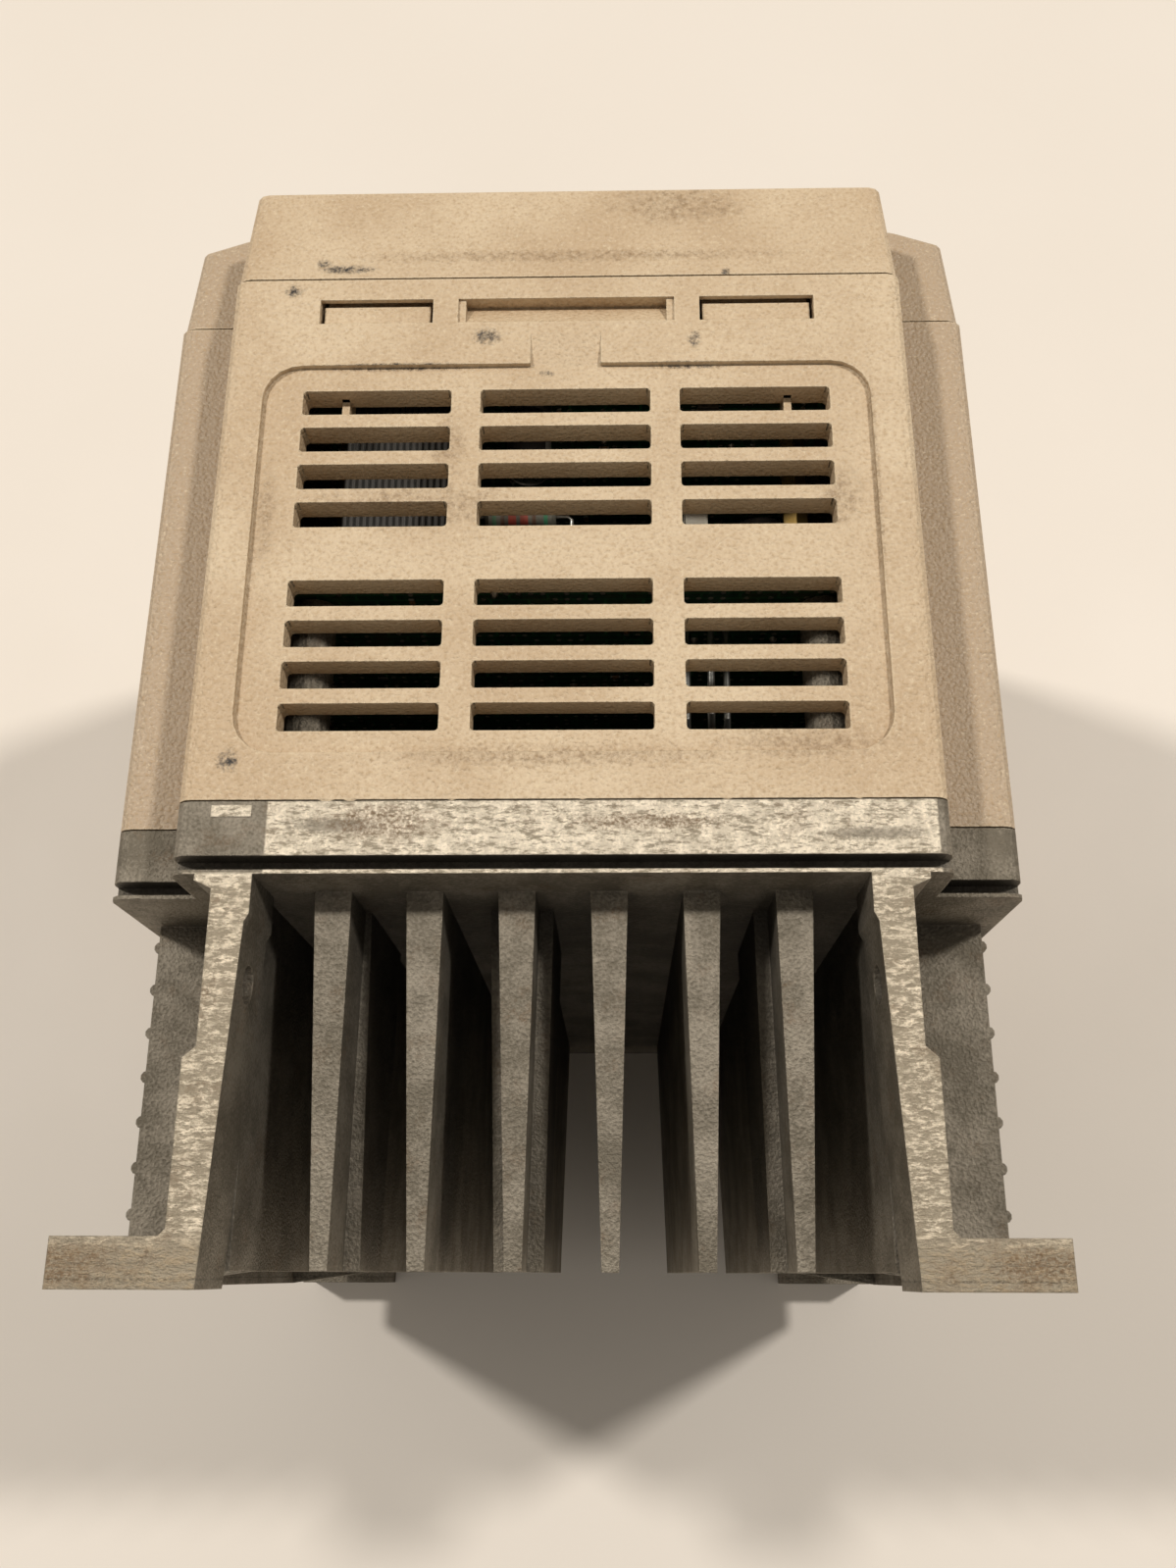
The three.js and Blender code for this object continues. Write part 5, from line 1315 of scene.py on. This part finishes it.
@dataclass
class Transformer:
    """Switching transformer: laminated core, bobbin, taped winding and pins."""

    node: str = "transformer"
    pins: int = 5

    def build(self) -> None:
        """Makes the transformer."""
        low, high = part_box(self.node)
        centre = (low + high) / 2
        size = high - low
        shape = Shape(
            "transformer_wound", Finish.LAMINATION, Finish.PHENOLIC, Finish.TAPE, Finish.TIN
        )
        core_y = 0.34 * size.y
        half_z = size.z / 2
        half_x = size.x / 2
        for z0, z1 in ((-half_z, -half_z + 5.5 * MM), (half_z - 5.5 * MM, half_z)):
            shape.block(
                centre + Vector((-half_x, -core_y, z0)),
                centre + Vector((half_x, core_y, z1)),
                0.5 * MM,
            )
        for x0, x1 in ((-half_x, -half_x + 4.0 * MM), (half_x - 4.0 * MM, half_x)):
            shape.block(
                centre + Vector((x0, -core_y, -half_z + 5.0 * MM)),
                centre + Vector((x1, core_y, half_z - 5.0 * MM)),
                0.3 * MM,
            )
        shape.block(
            centre + Vector((-half_x * 0.72, -size.y * 0.44, -half_z * 0.6)),
            centre + Vector((half_x * 0.72, size.y * 0.44, half_z * 0.6)),
            3.0 * MM,
            2,
            5,
        )
        for z in (-half_z * 0.68, half_z * 0.62):
            shape.block(
                centre + Vector((-half_x * 0.8, -size.y * 0.48, z)),
                centre + Vector((half_x * 0.8, size.y * 0.48, z + 2.0 * MM)),
                0.4 * MM,
                1,
            )
        for pin in range(self.pins):
            x = centre.x + (pin - (self.pins - 1) / 2) * 5.08 * MM
            for z in (-half_z * 0.66, half_z * 0.66):
                foot = Vector((x, high.y, centre.z + z))
                shape.rod([foot, foot - Vector((0.0, 4.0 * MM, 0.0))], 0.5 * MM, 3)
        shape.place(BODY, "transformer_tape", [self.node])


@dataclass
class BoxedPart:
    """Moulded case on a board: the relay or a current sensor."""

    node: str
    finish: Finish
    slot: str
    rounding: float = 0.7 * MM
    ribs: int = 3
    through: bool = False

    def build(self) -> None:
        """Makes the case with a lid line, ribs and, for a sensor, its bar."""
        low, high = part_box(self.node)
        size = high - low
        lid = low.y + 0.25 * size.y
        shape = Shape(f"{self.node}_case", self.finish, Finish.COPPER, Finish.PRINT)
        shape.block((low.x, lid + 0.15 * MM, low.z), high, self.rounding)
        inset = 0.25 * MM
        shape.block(
            (low.x + inset, low.y, low.z + inset),
            (high.x - inset, lid + 0.5 * MM, high.z - inset),
            self.rounding * 1.4,
            0,
            4,
        )
        for rib in range(self.ribs):
            z = low.z + size.z * (rib + 1) / (self.ribs + 1)
            left = (low.x - 0.1 * MM, low.x + 0.5 * MM)
            for x0, x1 in (left, (high.x - 0.5 * MM, high.x + 0.1 * MM)):
                shape.block(
                    (x0, lid + 1.0 * MM, z - 0.5 * MM), (x1, high.y - 1.0 * MM, z + 0.5 * MM),
                    0.15 * MM,
                )
        if self.through:
            middle = (low + high) / 2
            ring = facing(Vector((middle.x, low.y + 0.2 * MM, middle.z)), FRONT)
            wide = min(size.x, size.z) * 0.33
            profile = [(wide, 0.0), (wide, 0.5 * MM), (wide - 0.6 * MM, 0.7 * MM)]
            profile += [(wide - 1.2 * MM, 0.3 * MM), (0.0, 0.3 * MM)]
            shape.turned(profile, ring, 28)
            shape.block(
                (middle.x - 2.6 * MM, low.y - 1.2 * MM, middle.z - 1.0 * MM),
                (middle.x + 2.6 * MM, low.y + 0.2 * MM, middle.z + 1.0 * MM),
                0.3 * MM,
                1,
            )
        shape.block(
            (low.x + size.x * 0.18, low.y - 0.06 * MM, low.z + size.z * 0.2),
            (low.x + size.x * 0.18 + 1.4 * MM, low.y + 0.3 * MM, low.z + size.z * 0.2 + 1.4 * MM),
            0.05 * MM,
            2,
        )
        shape.place(BODY, self.slot, [self.node])


@dataclass
class BoardParts:
    """Small parts soldered to one face of a board, clear of the larger ones."""

    node: str
    look: Facing
    seed: int
    taken: Tuple[str, ...]
    chips: int = 9
    small: int = 120
    tall: float = 1.6 * MM
    margin: float = 6.0 * MM

    def _free(
        self, used: List[Tuple[float, float, float, float]], x: float, z: float, w: float, h: float
    ) -> bool:
        """Whether a footprint misses every other one."""
        return all(
            x + w < x0 or x - w > x1 or z + h < z0 or z - h > z1 for x0, x1, z0, z1 in used
        )

    def build(self) -> None:
        """Scatters chips, resistors, ceramic capacitors and solder joints on a regular grid."""
        low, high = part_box(self.node)
        rng = random.Random(self.seed)
        used = []
        for name in self.taken:
            a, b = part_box(name)
            used.append((a.x - 1.2 * MM, b.x + 1.2 * MM, a.z - 1.2 * MM, b.z + 1.2 * MM))
        face = low.y if self.look is Facing.TO_FRONT else high.y
        sign = self.look.value
        shape = Shape(
            f"{self.node}_{self.look.name.lower()}_parts",
            Finish.EPOXY,
            Finish.TIN,
            Finish.CERAMIC,
            Finish.PHENOLIC,
            Finish.PRINT,
        )

        def slab(
            x: float, z: float, w: float, h: float, t: float, number: int, lift: float = 0.0
        ) -> None:
            """One block that stands on the face."""
            near, far = face + sign * lift, face + sign * (lift + t)
            shape.block(
                (x - w, min(near, far), z - h), (x + w, max(near, far), z + h), 0.12 * MM, number, 1
            )

        for _ in range(self.chips * 6):
            if self.chips <= 0:
                break
            legs = rng.choice((4, 7, 8, 10))
            w, h = (2.0 + 0.4 * (legs > 7)) * MM, legs * 0.635 * MM
            if rng.random() < 0.5:
                w, h = h, w
            x = rng.uniform(low.x + self.margin + w, high.x - self.margin - w)
            z = rng.uniform(low.z + self.margin + h, high.z - self.margin - h)
            if not self._free(used, x, z, w + 1.5 * MM, h + 1.5 * MM):
                continue
            self.chips -= 1
            slab(x, z, w, h, self.tall, 0, 0.15 * MM)
            slab(x - w * 0.6, z + h * 0.75, 0.3 * MM, 0.3 * MM, self.tall + 0.2 * MM, 4)
            for leg in range(legs):
                off = (leg - (legs - 1) / 2) * 1.27 * MM
                for way in (-1.0, 1.0):
                    if h > w:
                        slab(x + way * (w + 0.6 * MM), z + off, 0.7 * MM, 0.2 * MM, 0.3 * MM, 1)
                    else:
                        slab(x + off, z + way * (h + 0.6 * MM), 0.2 * MM, 0.7 * MM, 0.3 * MM, 1)
            used.append((x - w - 2 * MM, x + w + 2 * MM, z - h - 2 * MM, z + h + 2 * MM))
        pitch = 2.54 * MM
        for _ in range(self.small):
            x = round(rng.uniform(low.x + 3 * MM, high.x - 3 * MM) / pitch) * pitch
            z = round(rng.uniform(low.z + 3 * MM, high.z - 3 * MM) / pitch) * pitch
            w, h = (1.0 * MM, 0.6 * MM) if rng.random() < 0.5 else (0.6 * MM, 1.0 * MM)
            if not self._free(used, x, z, w, h):
                continue
            used.append((x - w - 0.8 * MM, x + w + 0.8 * MM, z - h - 0.8 * MM, z + h + 0.8 * MM))
            if rng.random() < 0.4:
                matrix = facing(Vector((x, face, z)), Vector((0.0, sign, 0.0)))
                joint = [(1.0 * MM, 0.0), (0.7 * MM, 0.35 * MM), (0.35 * MM, 0.9 * MM)]
                shape.turned(joint + [(0.0, 1.05 * MM)], matrix, 12, 1)
                continue
            slab(x, z, w, h, 0.55 * MM, rng.choice((0, 2, 2)))
            if w > h:
                slab(x - w, z, 0.25 * MM, h * 1.1, 0.58 * MM, 1)
                slab(x + w, z, 0.25 * MM, h * 1.1, 0.58 * MM, 1)
            else:
                slab(x, z - h, w * 1.1, 0.25 * MM, 0.58 * MM, 1)
                slab(x, z + h, w * 1.1, 0.25 * MM, 0.58 * MM, 1)
        shape.place(BODY, "circuit_board")


@dataclass
class RibbonCable:
    """Flat cable of parallel cords, folded over the top of the control board."""

    node: str = "ribbon_cable"
    cords: int = 20
    bulge: float = 0.18 * MM
    fold: float = 1.4 * MM
    thickness: float = 0.75 * MM

    def build(self) -> None:
        """Makes the ribbed cable with its two plugs."""
        low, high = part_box(self.node)
        rear, front, top = high.y, low.y, high.z - 0.2 * MM
        board_low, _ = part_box("control_board")
        down = 12.0 * MM
        path = [(rear - 0.4 * MM, top - 11.0 * MM), (rear - 2.4 * MM, top - 10.2 * MM)]
        for y, z in arc((rear - 2.6 * MM - self.fold, top - self.fold), self.fold, 0.0, 90.0, 6):
            path.append((y, z))
        for y, z in arc((front + self.fold + 0.4 * MM, top - self.fold), self.fold, 90.0, 180.0, 6):
            path.append((y, z))
        path.append((front + 0.4 * MM, top - down + 1.0 * MM))
        shape = Shape("ribbon_cable_cords", Finish.RIBBON, Finish.PHENOLIC)
        pitch = (high.x - low.x) / self.cords
        for cord in range(self.cords):
            x = low.x + (cord + 0.5) * pitch
            points = [Vector((x, y, z)) for y, z in path]
            shape.rod(points, pitch * 0.5 + 0.02 * MM, 0, 8)
        shape.block(
            (low.x - 1.0 * MM, front - 0.8 * MM, top - down - 2.4 * MM),
            (high.x + 1.0 * MM, board_low.y - 0.1 * MM, top - down + 2.6 * MM),
            0.5 * MM,
            1,
        )
        shape.block(
            (low.x - 1.0 * MM, rear - 4.2 * MM, top - 13.4 * MM),
            (high.x + 1.0 * MM, rear + 0.2 * MM, top - 8.6 * MM),
            0.5 * MM,
            1,
        )
        shape.place(BODY, "ribbon", [self.node])


@dataclass
class Terminals:
    """Main terminal block with clamp rings, and the small control terminals."""

    screws: int = 6
    ways: int = 12

    def build(self) -> None:
        """Dresses the blocks and adds clamps, bars and slotted screws."""
        dress("main_terminal_block", Finish.PHENOLIC)
        dress("control_terminal_block", Finish.GREEN_PA)
        for index in range(self.screws):
            node = f"terminal_screw_{index + 1}"
            CrossScrew(node).build()
            low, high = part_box(node)
            matrix = facing(back_middle(low, high), FRONT)
            inner = (high.x - low.x) / 2 + 0.15 * MM
            clamp = Shape(f"terminal_clamp_{index + 1}", Finish.ZINC)
            profile = [(inner, -0.2 * MM), (inner + 2.4 * MM, -0.2 * MM)]
            profile += [(inner + 2.5 * MM, 0.7 * MM), (inner + 2.2 * MM, 0.95 * MM)]
            profile += [(inner, 0.95 * MM), (inner, -0.2 * MM)]
            clamp.turned(profile, matrix, 28)
            clamp.place(BODY, "zinc_steel")
        low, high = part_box("control_terminal_block")
        pitch = (high.x - low.x) / self.ways
        small = Shape("control_terminal_screws", Finish.ZINC, Finish.SOCKET)
        for way in range(self.ways):
            x = low.x + (way + 0.5) * pitch
            z = low.z + 0.6 * (high.z - low.z)
            matrix = facing(Vector((x, low.y + 1.9 * MM, z)), FRONT)
            profile = [(1.8 * MM, 0.0), (1.8 * MM, 0.8 * MM), (1.5 * MM, 1.1 * MM)]
            profile.append((0.0, 1.15 * MM))
            small.turned(profile, matrix, 20)
            # painted shade: the slot and the small bar below each screw wear the dark recess
            # finish, standing in for the shade in them
            slot = matrix @ Matrix.Rotation(math.radians(37.0 * way), 4, "Z")
            small.block(
                (-1.5 * MM, -0.25 * MM, 0.8 * MM),
                (1.5 * MM, 0.25 * MM, 1.18 * MM),
                0.05 * MM,
                1,
                1,
                slot,
            )
            small.block(
                (x - 1.5 * MM, low.y - 0.05 * MM, low.z + 1.0 * MM),
                (x + 1.5 * MM, low.y + 0.4 * MM, low.z + 3.6 * MM),
                0.1 * MM,
                1,
                1,
            )
        small.place(BODY, "zinc_steel")


@dataclass
class Electronics:
    """Everything between the heat sink and the covers."""

    cans: Tuple[str, ...] = (
        "bus_capacitor_left",
        "bus_capacitor_right",
        "snubber_capacitor",
        "filter_capacitor",
        "smoothing_capacitor",
    )
    screws: Tuple[str, ...] = (
        "power_module_screw_left",
        "power_module_screw_right",
        "rectifier_screw_left",
        "rectifier_screw_right",
        "board_screw_upper_left",
        "board_screw_upper_right",
        "board_screw_lower_left",
        "board_screw_lower_right",
    )
    spacers: Tuple[str, ...] = (
        "board_spacer_upper_left",
        "board_spacer_upper_right",
        "board_spacer_lower_left",
        "board_spacer_lower_right",
    )

    coupling_mm: Point = (9.0, -71.9, 198.6)
    bleed_mm: Point = (10.0, -38.2, 206.0)
    header_mm: Point = (-27.5, -30.4, 203.0)
    half_header_mm: Point = (2.6, 8.6, 3.4)
    leads_mm: Tuple[Tuple[float, float], ...] = ((-26.0, 190.0), (-31.0, 193.0), (-34.5, 190.0))

    def _behind_louvres(self) -> None:
        """Adds the loose parts that show through the louvres."""
        coupling = facing(metres(self.coupling_mm), -FRONT)
        CanCapacitor("coupling_capacitor").stand(5.0 * MM, 19.0 * MM, coupling, [])
        bleed = BandedResistor("bleed_resistor", 16.2 * MM)
        bleed.lay(metres(self.bleed_mm), 2.7 * MM, 7.6 * MM, [])
        loose = Shape("board_header_and_leads", Finish.WHITE_PBT, Finish.TIN)
        header, half = metres(self.header_mm), metres(self.half_header_mm)
        loose.block(header - half, header + half, 0.4 * MM)
        for x_mm, z_mm in self.leads_mm:
            lead = [metres((x_mm, -18.8, z_mm))]
            lead.append(Vector((x_mm * MM + 0.6 * MM, 4.0 * MM, (z_mm + 4.0) * MM)))
            lead.append(Vector((x_mm * MM, 12.0 * MM, (z_mm - 6.0) * MM)))
            loose.rod(lead, 0.8 * MM, 1)
        loose.place(BODY, "relay_plastic")

    def build(self) -> None:
        """Builds every part in order."""
        for board in ("power_board", "control_board"):
            dress(board, Finish.BOARD)
        for turn, node in enumerate(self.cans):
            share = 0.5 if node == "filter_capacitor" else 1.0
            CanCapacitor(node, stripe_turn=7 * turn, length_share=share).build()
        self._behind_louvres()
        for node in self.screws:
            CrossScrew(node).build()
        for node in self.spacers:
            dress(node, Finish.BRASS)
        for node in ("power_module", "rectifier_module"):
            dress(node, Finish.EPOXY)
        BandedResistor().build()
        Transformer().build()
        BoxedPart("charge_relay", Finish.DARK_PBT, "relay_plastic", 1.0 * MM, 2).build()
        for side in ("left", "right"):
            BoxedPart(
                f"current_sensor_{side}", Finish.DARK_PBT, "dark_plastic", through=True
            ).build()
        dress("logic_switch_body", Finish.PHENOLIC)
        lever = Shape("logic_switch_lever_grip", Finish.WHITE_PBT)
        low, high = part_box("logic_switch_lever")
        lever.block(low, high, 0.25 * MM)
        middle = (low.z + high.z) / 2
        for line in (-0.45, 0.0, 0.45):
            lever.block(
                (low.x + 0.2 * MM, low.y - 0.12 * MM, middle + (line - 0.1) * MM),
                (high.x - 0.2 * MM, low.y + 0.2 * MM, middle + (line + 0.1) * MM),
                0.04 * MM,
                0,
                1,
            )
        lever.place("logic_switch_lever", "relay_plastic", ["logic_switch_lever"])
        large = self.cans + self.spacers + ("transformer", "charge_relay", "charge_resistor")
        large += ("current_sensor_left", "current_sensor_right", "main_terminal_block")
        large += self.screws[4:] + ("ribbon_cable",)
        BoardParts("power_board", Facing.TO_FRONT, 21, large, 4, 90).build()
        rear = ("power_module", "rectifier_module") + self.screws[4:]
        BoardParts("power_board", Facing.TO_WALL, 22, rear, 0, 130).build()
        front = ("control_terminal_block", "logic_switch_body", "ribbon_cable") + self.spacers
        BoardParts("control_board", Facing.TO_FRONT, 23, front, 9, 170).build()
        back = self.spacers + ("bus_capacitor_left",)
        BoardParts("control_board", Facing.TO_WALL, 24, back, 2, 120).build()
        RibbonCable().build()
        Terminals().build()


# ------------------------------------------------------------------ keypad


class Mark(Enum):
    """Plain symbols printed on the keys."""

    UP = "up"
    DOWN = "down"
    GO = "go"
    HALT = "halt"
    RING = "ring"
    BARS = "bars"
    SHIFT = "shift"
    DOTS = "dots"


@dataclass
class Key:
    """Domed silicone key with a printed symbol, riding its own body."""

    node: str
    finish: Finish
    slot: str
    mark: Mark
    crown: float = 0.35 * MM

    def _symbol(self, shape: Shape, centre: Vector) -> None:
        """Adds the printed symbol on the top of the key."""
        top = facing(centre, FRONT)
        rise = 0.05 * MM
        arrow = [(0.0, 1.5 * MM), (-1.6 * MM, -1.1 * MM), (1.6 * MM, -1.1 * MM)]
        if self.mark in (Mark.UP, Mark.DOWN, Mark.GO, Mark.SHIFT):
            turn = {Mark.UP: 0.0, Mark.DOWN: 180.0, Mark.GO: -90.0, Mark.SHIFT: 90.0}[self.mark]
            spun = facing(centre, FRONT, self._upright(top) + math.radians(turn))
            shape.prism(arrow, rise, spun, 1)
        elif self.mark is Mark.HALT:
            half = 1.3 * MM
            shape.block((-half, -half, 0.0), (half, half, rise), 0.01 * MM, 1, 1, top)
        elif self.mark is Mark.RING:
            profile = [(1.0 * MM, 0.0), (1.6 * MM, 0.0), (1.6 * MM, rise), (1.0 * MM, rise)]
            shape.turned(profile + [(1.0 * MM, 0.0)], top, 32, 1)
        elif self.mark is Mark.BARS:
            for offset in (-0.8, 0.8):
                shape.block(
                    centre + Vector((-1.6 * MM, -rise, (offset - 0.28) * MM)),
                    centre + Vector((1.6 * MM, 0.0, (offset + 0.28) * MM)),
                    0.01 * MM,
                    1,
                    1,
                )
        else:
            for offset in (-1.5, 0.0, 1.5):
                spot = facing(centre + Vector((offset * MM, 0.0, 0.0)), FRONT)
                shape.turned([(0.45 * MM, 0.0), (0.45 * MM, rise), (0.0, rise)], spot, 16, 1)

    @staticmethod
    def _upright(top: Matrix) -> float:
        """Roll that turns the frame's Y axis to point up."""
        across = top.to_3x3().col[0]
        upward = top.to_3x3().col[1]
        return math.atan2(-UP.dot(across), UP.dot(upward))

    def build(self) -> None:
        """Makes the key."""
        low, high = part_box(self.node)
        shape = Shape(f"{self.node}_cap", self.finish, Finish.PRINT)
        shape.block((low.x, low.y + self.crown, low.z), high, 1.0 * MM, 0, 4)
        shape.block(
            (low.x + 0.5 * MM, low.y, low.z + 0.5 * MM),
            (high.x - 0.5 * MM, low.y + 1.6 * MM, high.z - 0.5 * MM),
            0.9 * MM,
            0,
            5,
        )
        centre = Vector(((low.x + high.x) / 2, low.y, (low.z + high.z) / 2))
        self._symbol(shape, centre)
        shape.place(self.node, self.slot, [self.node])


@dataclass
class Keypad:
    """Plug-in keypad: black case, display window with unlit digits, lamps and eight keys."""

    digits: int = 5
    digit_width: float = 5.2 * MM
    digit_height: float = 10.5 * MM
    digit_pitch: float = 8.6 * MM
    stroke: float = 0.95 * MM
    lean: float = 0.12
    keys: Tuple[Key, ...] = (
        Key("key_program", Finish.SILICONE_GREY, "key_grey", Mark.BARS),
        Key("key_up", Finish.SILICONE_GREY, "key_grey", Mark.UP),
        Key("key_run", Finish.SILICONE_GREEN, "key_green", Mark.GO),
        Key("key_reset", Finish.SILICONE_GREY, "key_grey", Mark.RING),
        Key("key_shift", Finish.SILICONE_GREY, "key_grey", Mark.SHIFT),
        Key("key_stop", Finish.SILICONE_RED, "key_red", Mark.HALT),
        Key("key_function", Finish.SILICONE_GREY, "key_grey", Mark.DOTS),
        Key("key_down", Finish.SILICONE_GREY, "key_grey", Mark.DOWN),
    )

    def _digits(self, low: Vector, high: Vector) -> None:
        """Seven-segment digits, unlit, just behind the window."""
        shape = Shape("display_digits", Finish.SEGMENT)
        mid_x, mid_z = (low.x + high.x) / 2, (low.z + high.z) / 2
        half_w, half_h = self.digit_width / 2, self.digit_height / 2
        y = high.y + 0.06 * MM
        for digit in range(self.digits):
            x = mid_x + (digit - (self.digits - 1) / 2) * self.digit_pitch
            bars = [(0.0, half_h, True), (0.0, 0.0, True), (0.0, -half_h, True)]
            bars += [(way * half_w, up * half_h / 2, False) for way in (-1, 1) for up in (-1, 1)]
            for dx, dz, flat in bars:
                long = half_w - 0.35 * MM if flat else half_h / 2 - 0.35 * MM
                thick = self.stroke / 2
                w, h = (long, thick) if flat else (thick, long)
                shift = self.lean * dz
                shape.block(
                    (x + dx + shift - w, y, mid_z + dz - h),
                    (x + dx + shift + w, y + 0.12 * MM, mid_z + dz + h),
                    0.05 * MM,
                    0,
                    1,
                )
            dot = facing(Vector((x + half_w + 1.4 * MM, y + 0.12 * MM, mid_z - half_h)), FRONT)
            shape.turned([(0.5 * MM, 0.0), (0.5 * MM, 0.12 * MM), (0.0, 0.12 * MM)], dot, 14)
        shape.place("keypad", "dark_plastic")

    def _trim(self, low: Vector, high: Vector) -> None:
        """Raised frame round the window, three lamps, and a line under the keys."""
        case_low, case_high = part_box("keypad")
        face = case_low.y
        trim = Shape("keypad_trim", Finish.DARK_PBT, Finish.LED, Finish.PRINT)
        wide, rise = 1.4 * MM, 0.35 * MM
        x0, x1, z0, z1 = low.x - 0.3 * MM, high.x + 0.3 * MM, low.z - 0.3 * MM, high.z + 0.3 * MM
        for a, b in (
            ((x0 - wide, z0 - wide), (x1 + wide, z0)),
            ((x0 - wide, z1), (x1 + wide, z1 + wide)),
            ((x0 - wide, z0), (x0, z1)),
            ((x1, z0), (x1 + wide, z1)),
        ):
            trim.block((a[0], face - rise, a[1]), (b[0], face + 0.3 * MM, b[1]), 0.15 * MM)
        for x_mm in (-18.0, 0.0, 18.0):
            spot = facing(Vector((x_mm * MM, face, z0 - 3.6 * MM)), FRONT)
            lens = [(1.1 * MM, 0.0), (1.05 * MM, 0.3 * MM), (0.7 * MM, 0.6 * MM), (0.0, 0.72 * MM)]
            trim.turned(lens, spot, 20, 1)
        line_z = case_low.z + 9.0 * MM
        trim.block(
            (case_low.x + 6.0 * MM, face - 0.05 * MM, line_z),
            (case_high.x - 6.0 * MM, face + 0.2 * MM, line_z + 0.5 * MM),
            0.02 * MM,
            2,
            1,
        )
        trim.place("keypad", "dark_plastic")

    def build(self) -> None:
        """Builds the keypad and its keys."""
        dress("keypad", Finish.DARK_PBT)
        dress("display_window", Finish.WINDOW)
        low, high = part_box("display_window")
        self._digits(low, high)
        self._trim(low, high)
        for key in self.keys:
            key.build()


# ------------------------------------------------------------------ stage


@dataclass
class Lamp:
    """A soft lamp that shines on the drive."""

    name: str
    toward: Point
    watts: float
    size: float
    distance: float = 3.0
    tint: str = "fff9f1"

    def build(self, target: Vector) -> bpy.types.Object:
        """Hangs the lamp.

        Args:
            target: What it points at.

        Returns:
            The lamp object.
        """
        data = bpy.data.lights.new(self.name, "AREA")
        data.shape = "DISK"
        data.size = self.size
        data.energy = self.watts
        data.color = srgb(self.tint)[:3]
        lamp = bpy.data.objects.new(self.name, data)
        away = Vector(self.toward).normalized()
        lamp.matrix_world = facing(target + away * self.distance, away)
        bpy.context.scene.collection.objects.link(lamp)
        return lamp


@dataclass
class Stage:
    """Pale table, two soft lamps high at the front corners, and the camera."""

    floor_half: float = 3.0
    floor_colour: str = "eee7de"
    floor_worn: str = "e6ded3"
    sky_colour: str = "fff7ec"
    sky_strength: float = 0.31
    target: Point = (0.0, 0.0, 0.16)
    lamps: Tuple[Lamp, ...] = (
        Lamp("lamp_left", (0.6, -0.278, 0.965), 43.0, 0.24),
        Lamp("lamp_right", (-0.6, -0.278, 0.965), 43.0, 0.24),
    )
    eye: Point = (-0.01052, 0.11526, 0.47018)
    right: Point = (-0.99977, -0.00298, -0.02121)
    up: Point = (-0.0042, -0.9437, 0.33076)
    ahead: Point = (0.0210, -0.33078, -0.94347)
    lens_mm: float = 32.07
    sensor_mm: float = 36.0

    def _floor_material(self) -> bpy.types.Material:
        """Laminate pressed smooth: pale, faintly clouded, with a soft sheen."""
        t = FinishTree("laminate_pressed_table")
        cloud = t.add("TexNoise", {0: t.mm, "Scale": 0.006, "Detail": 4.0})
        grit = t.add("TexNoise", {0: t.mm, "Scale": 0.7, "Detail": 2.0})
        colours = {0: cloud, 6: srgb(self.floor_colour), 7: srgb(self.floor_worn)}
        colour = t.add("Mix", colours, data_type="RGBA")
        rough = t.add("MapRange", {0: cloud, 1: 0.3, 2: 0.7, 3: 0.5, 4: 0.6})
        t.tree.links.new(
            t.add("Bump", {"Height": grit, "Distance": 0.02 * MM}).outputs[0],
            t.surface.inputs["Normal"],
        )
        return t.paint(Base_Color=colour, Roughness=rough, IOR=1.5)

    def build(self) -> None:
        """Lays the table, hangs the lamps and sets the camera."""
        half = self.floor_half
        mesh = bpy.data.meshes.new("table_top")
        corners = [(-half, -half, 0.0), (half, -half, 0.0), (half, half, 0.0), (-half, half, 0.0)]
        mesh.from_pydata(corners, [], [(0, 1, 2, 3)])
        mesh.materials.append(self._floor_material())
        table = bpy.data.objects.new("table_top", mesh)
        bpy.context.scene.collection.objects.link(table)

        world = bpy.data.worlds.new("soft_room")
        world.use_nodes = True
        sky = world.node_tree.nodes["Background"]
        sky.inputs["Color"].default_value = srgb(self.sky_colour)
        sky.inputs["Strength"].default_value = self.sky_strength
        bpy.context.scene.world = world
        for lamp in self.lamps:
            lamp.build(Vector(self.target))

        data = bpy.data.cameras.new("camera")
        data.lens = self.lens_mm
        data.sensor_width = self.sensor_mm
        data.clip_start = 0.01
        data.clip_end = 20.0
        camera = bpy.data.objects.new("camera", data)
        turn = Matrix((self.right, self.up, [-v for v in self.ahead])).transposed()
        camera.matrix_world = Matrix.Translation(self.eye) @ turn.to_4x4()
        bpy.context.scene.collection.objects.link(camera)
        bpy.context.scene.camera = camera
        bpy.context.scene.view_settings.view_transform = "Standard"
        LOG.info("stage: %d lamps", len(self.lamps))


def main() -> None:
    """Builds the drive piece by piece and reports each one."""
    logging.basicConfig(level=logging.INFO, format="%(name)s: %(message)s")
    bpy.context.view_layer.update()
    pieces = (Casting(), Shell(), LouvreFrames(), CableEntry(), Electronics(), Keypad(), Stage())
    for piece in pieces:
        LOG.info("building %s", type(piece).__name__)
        piece.build()


if __name__ == "__main__":
    main()
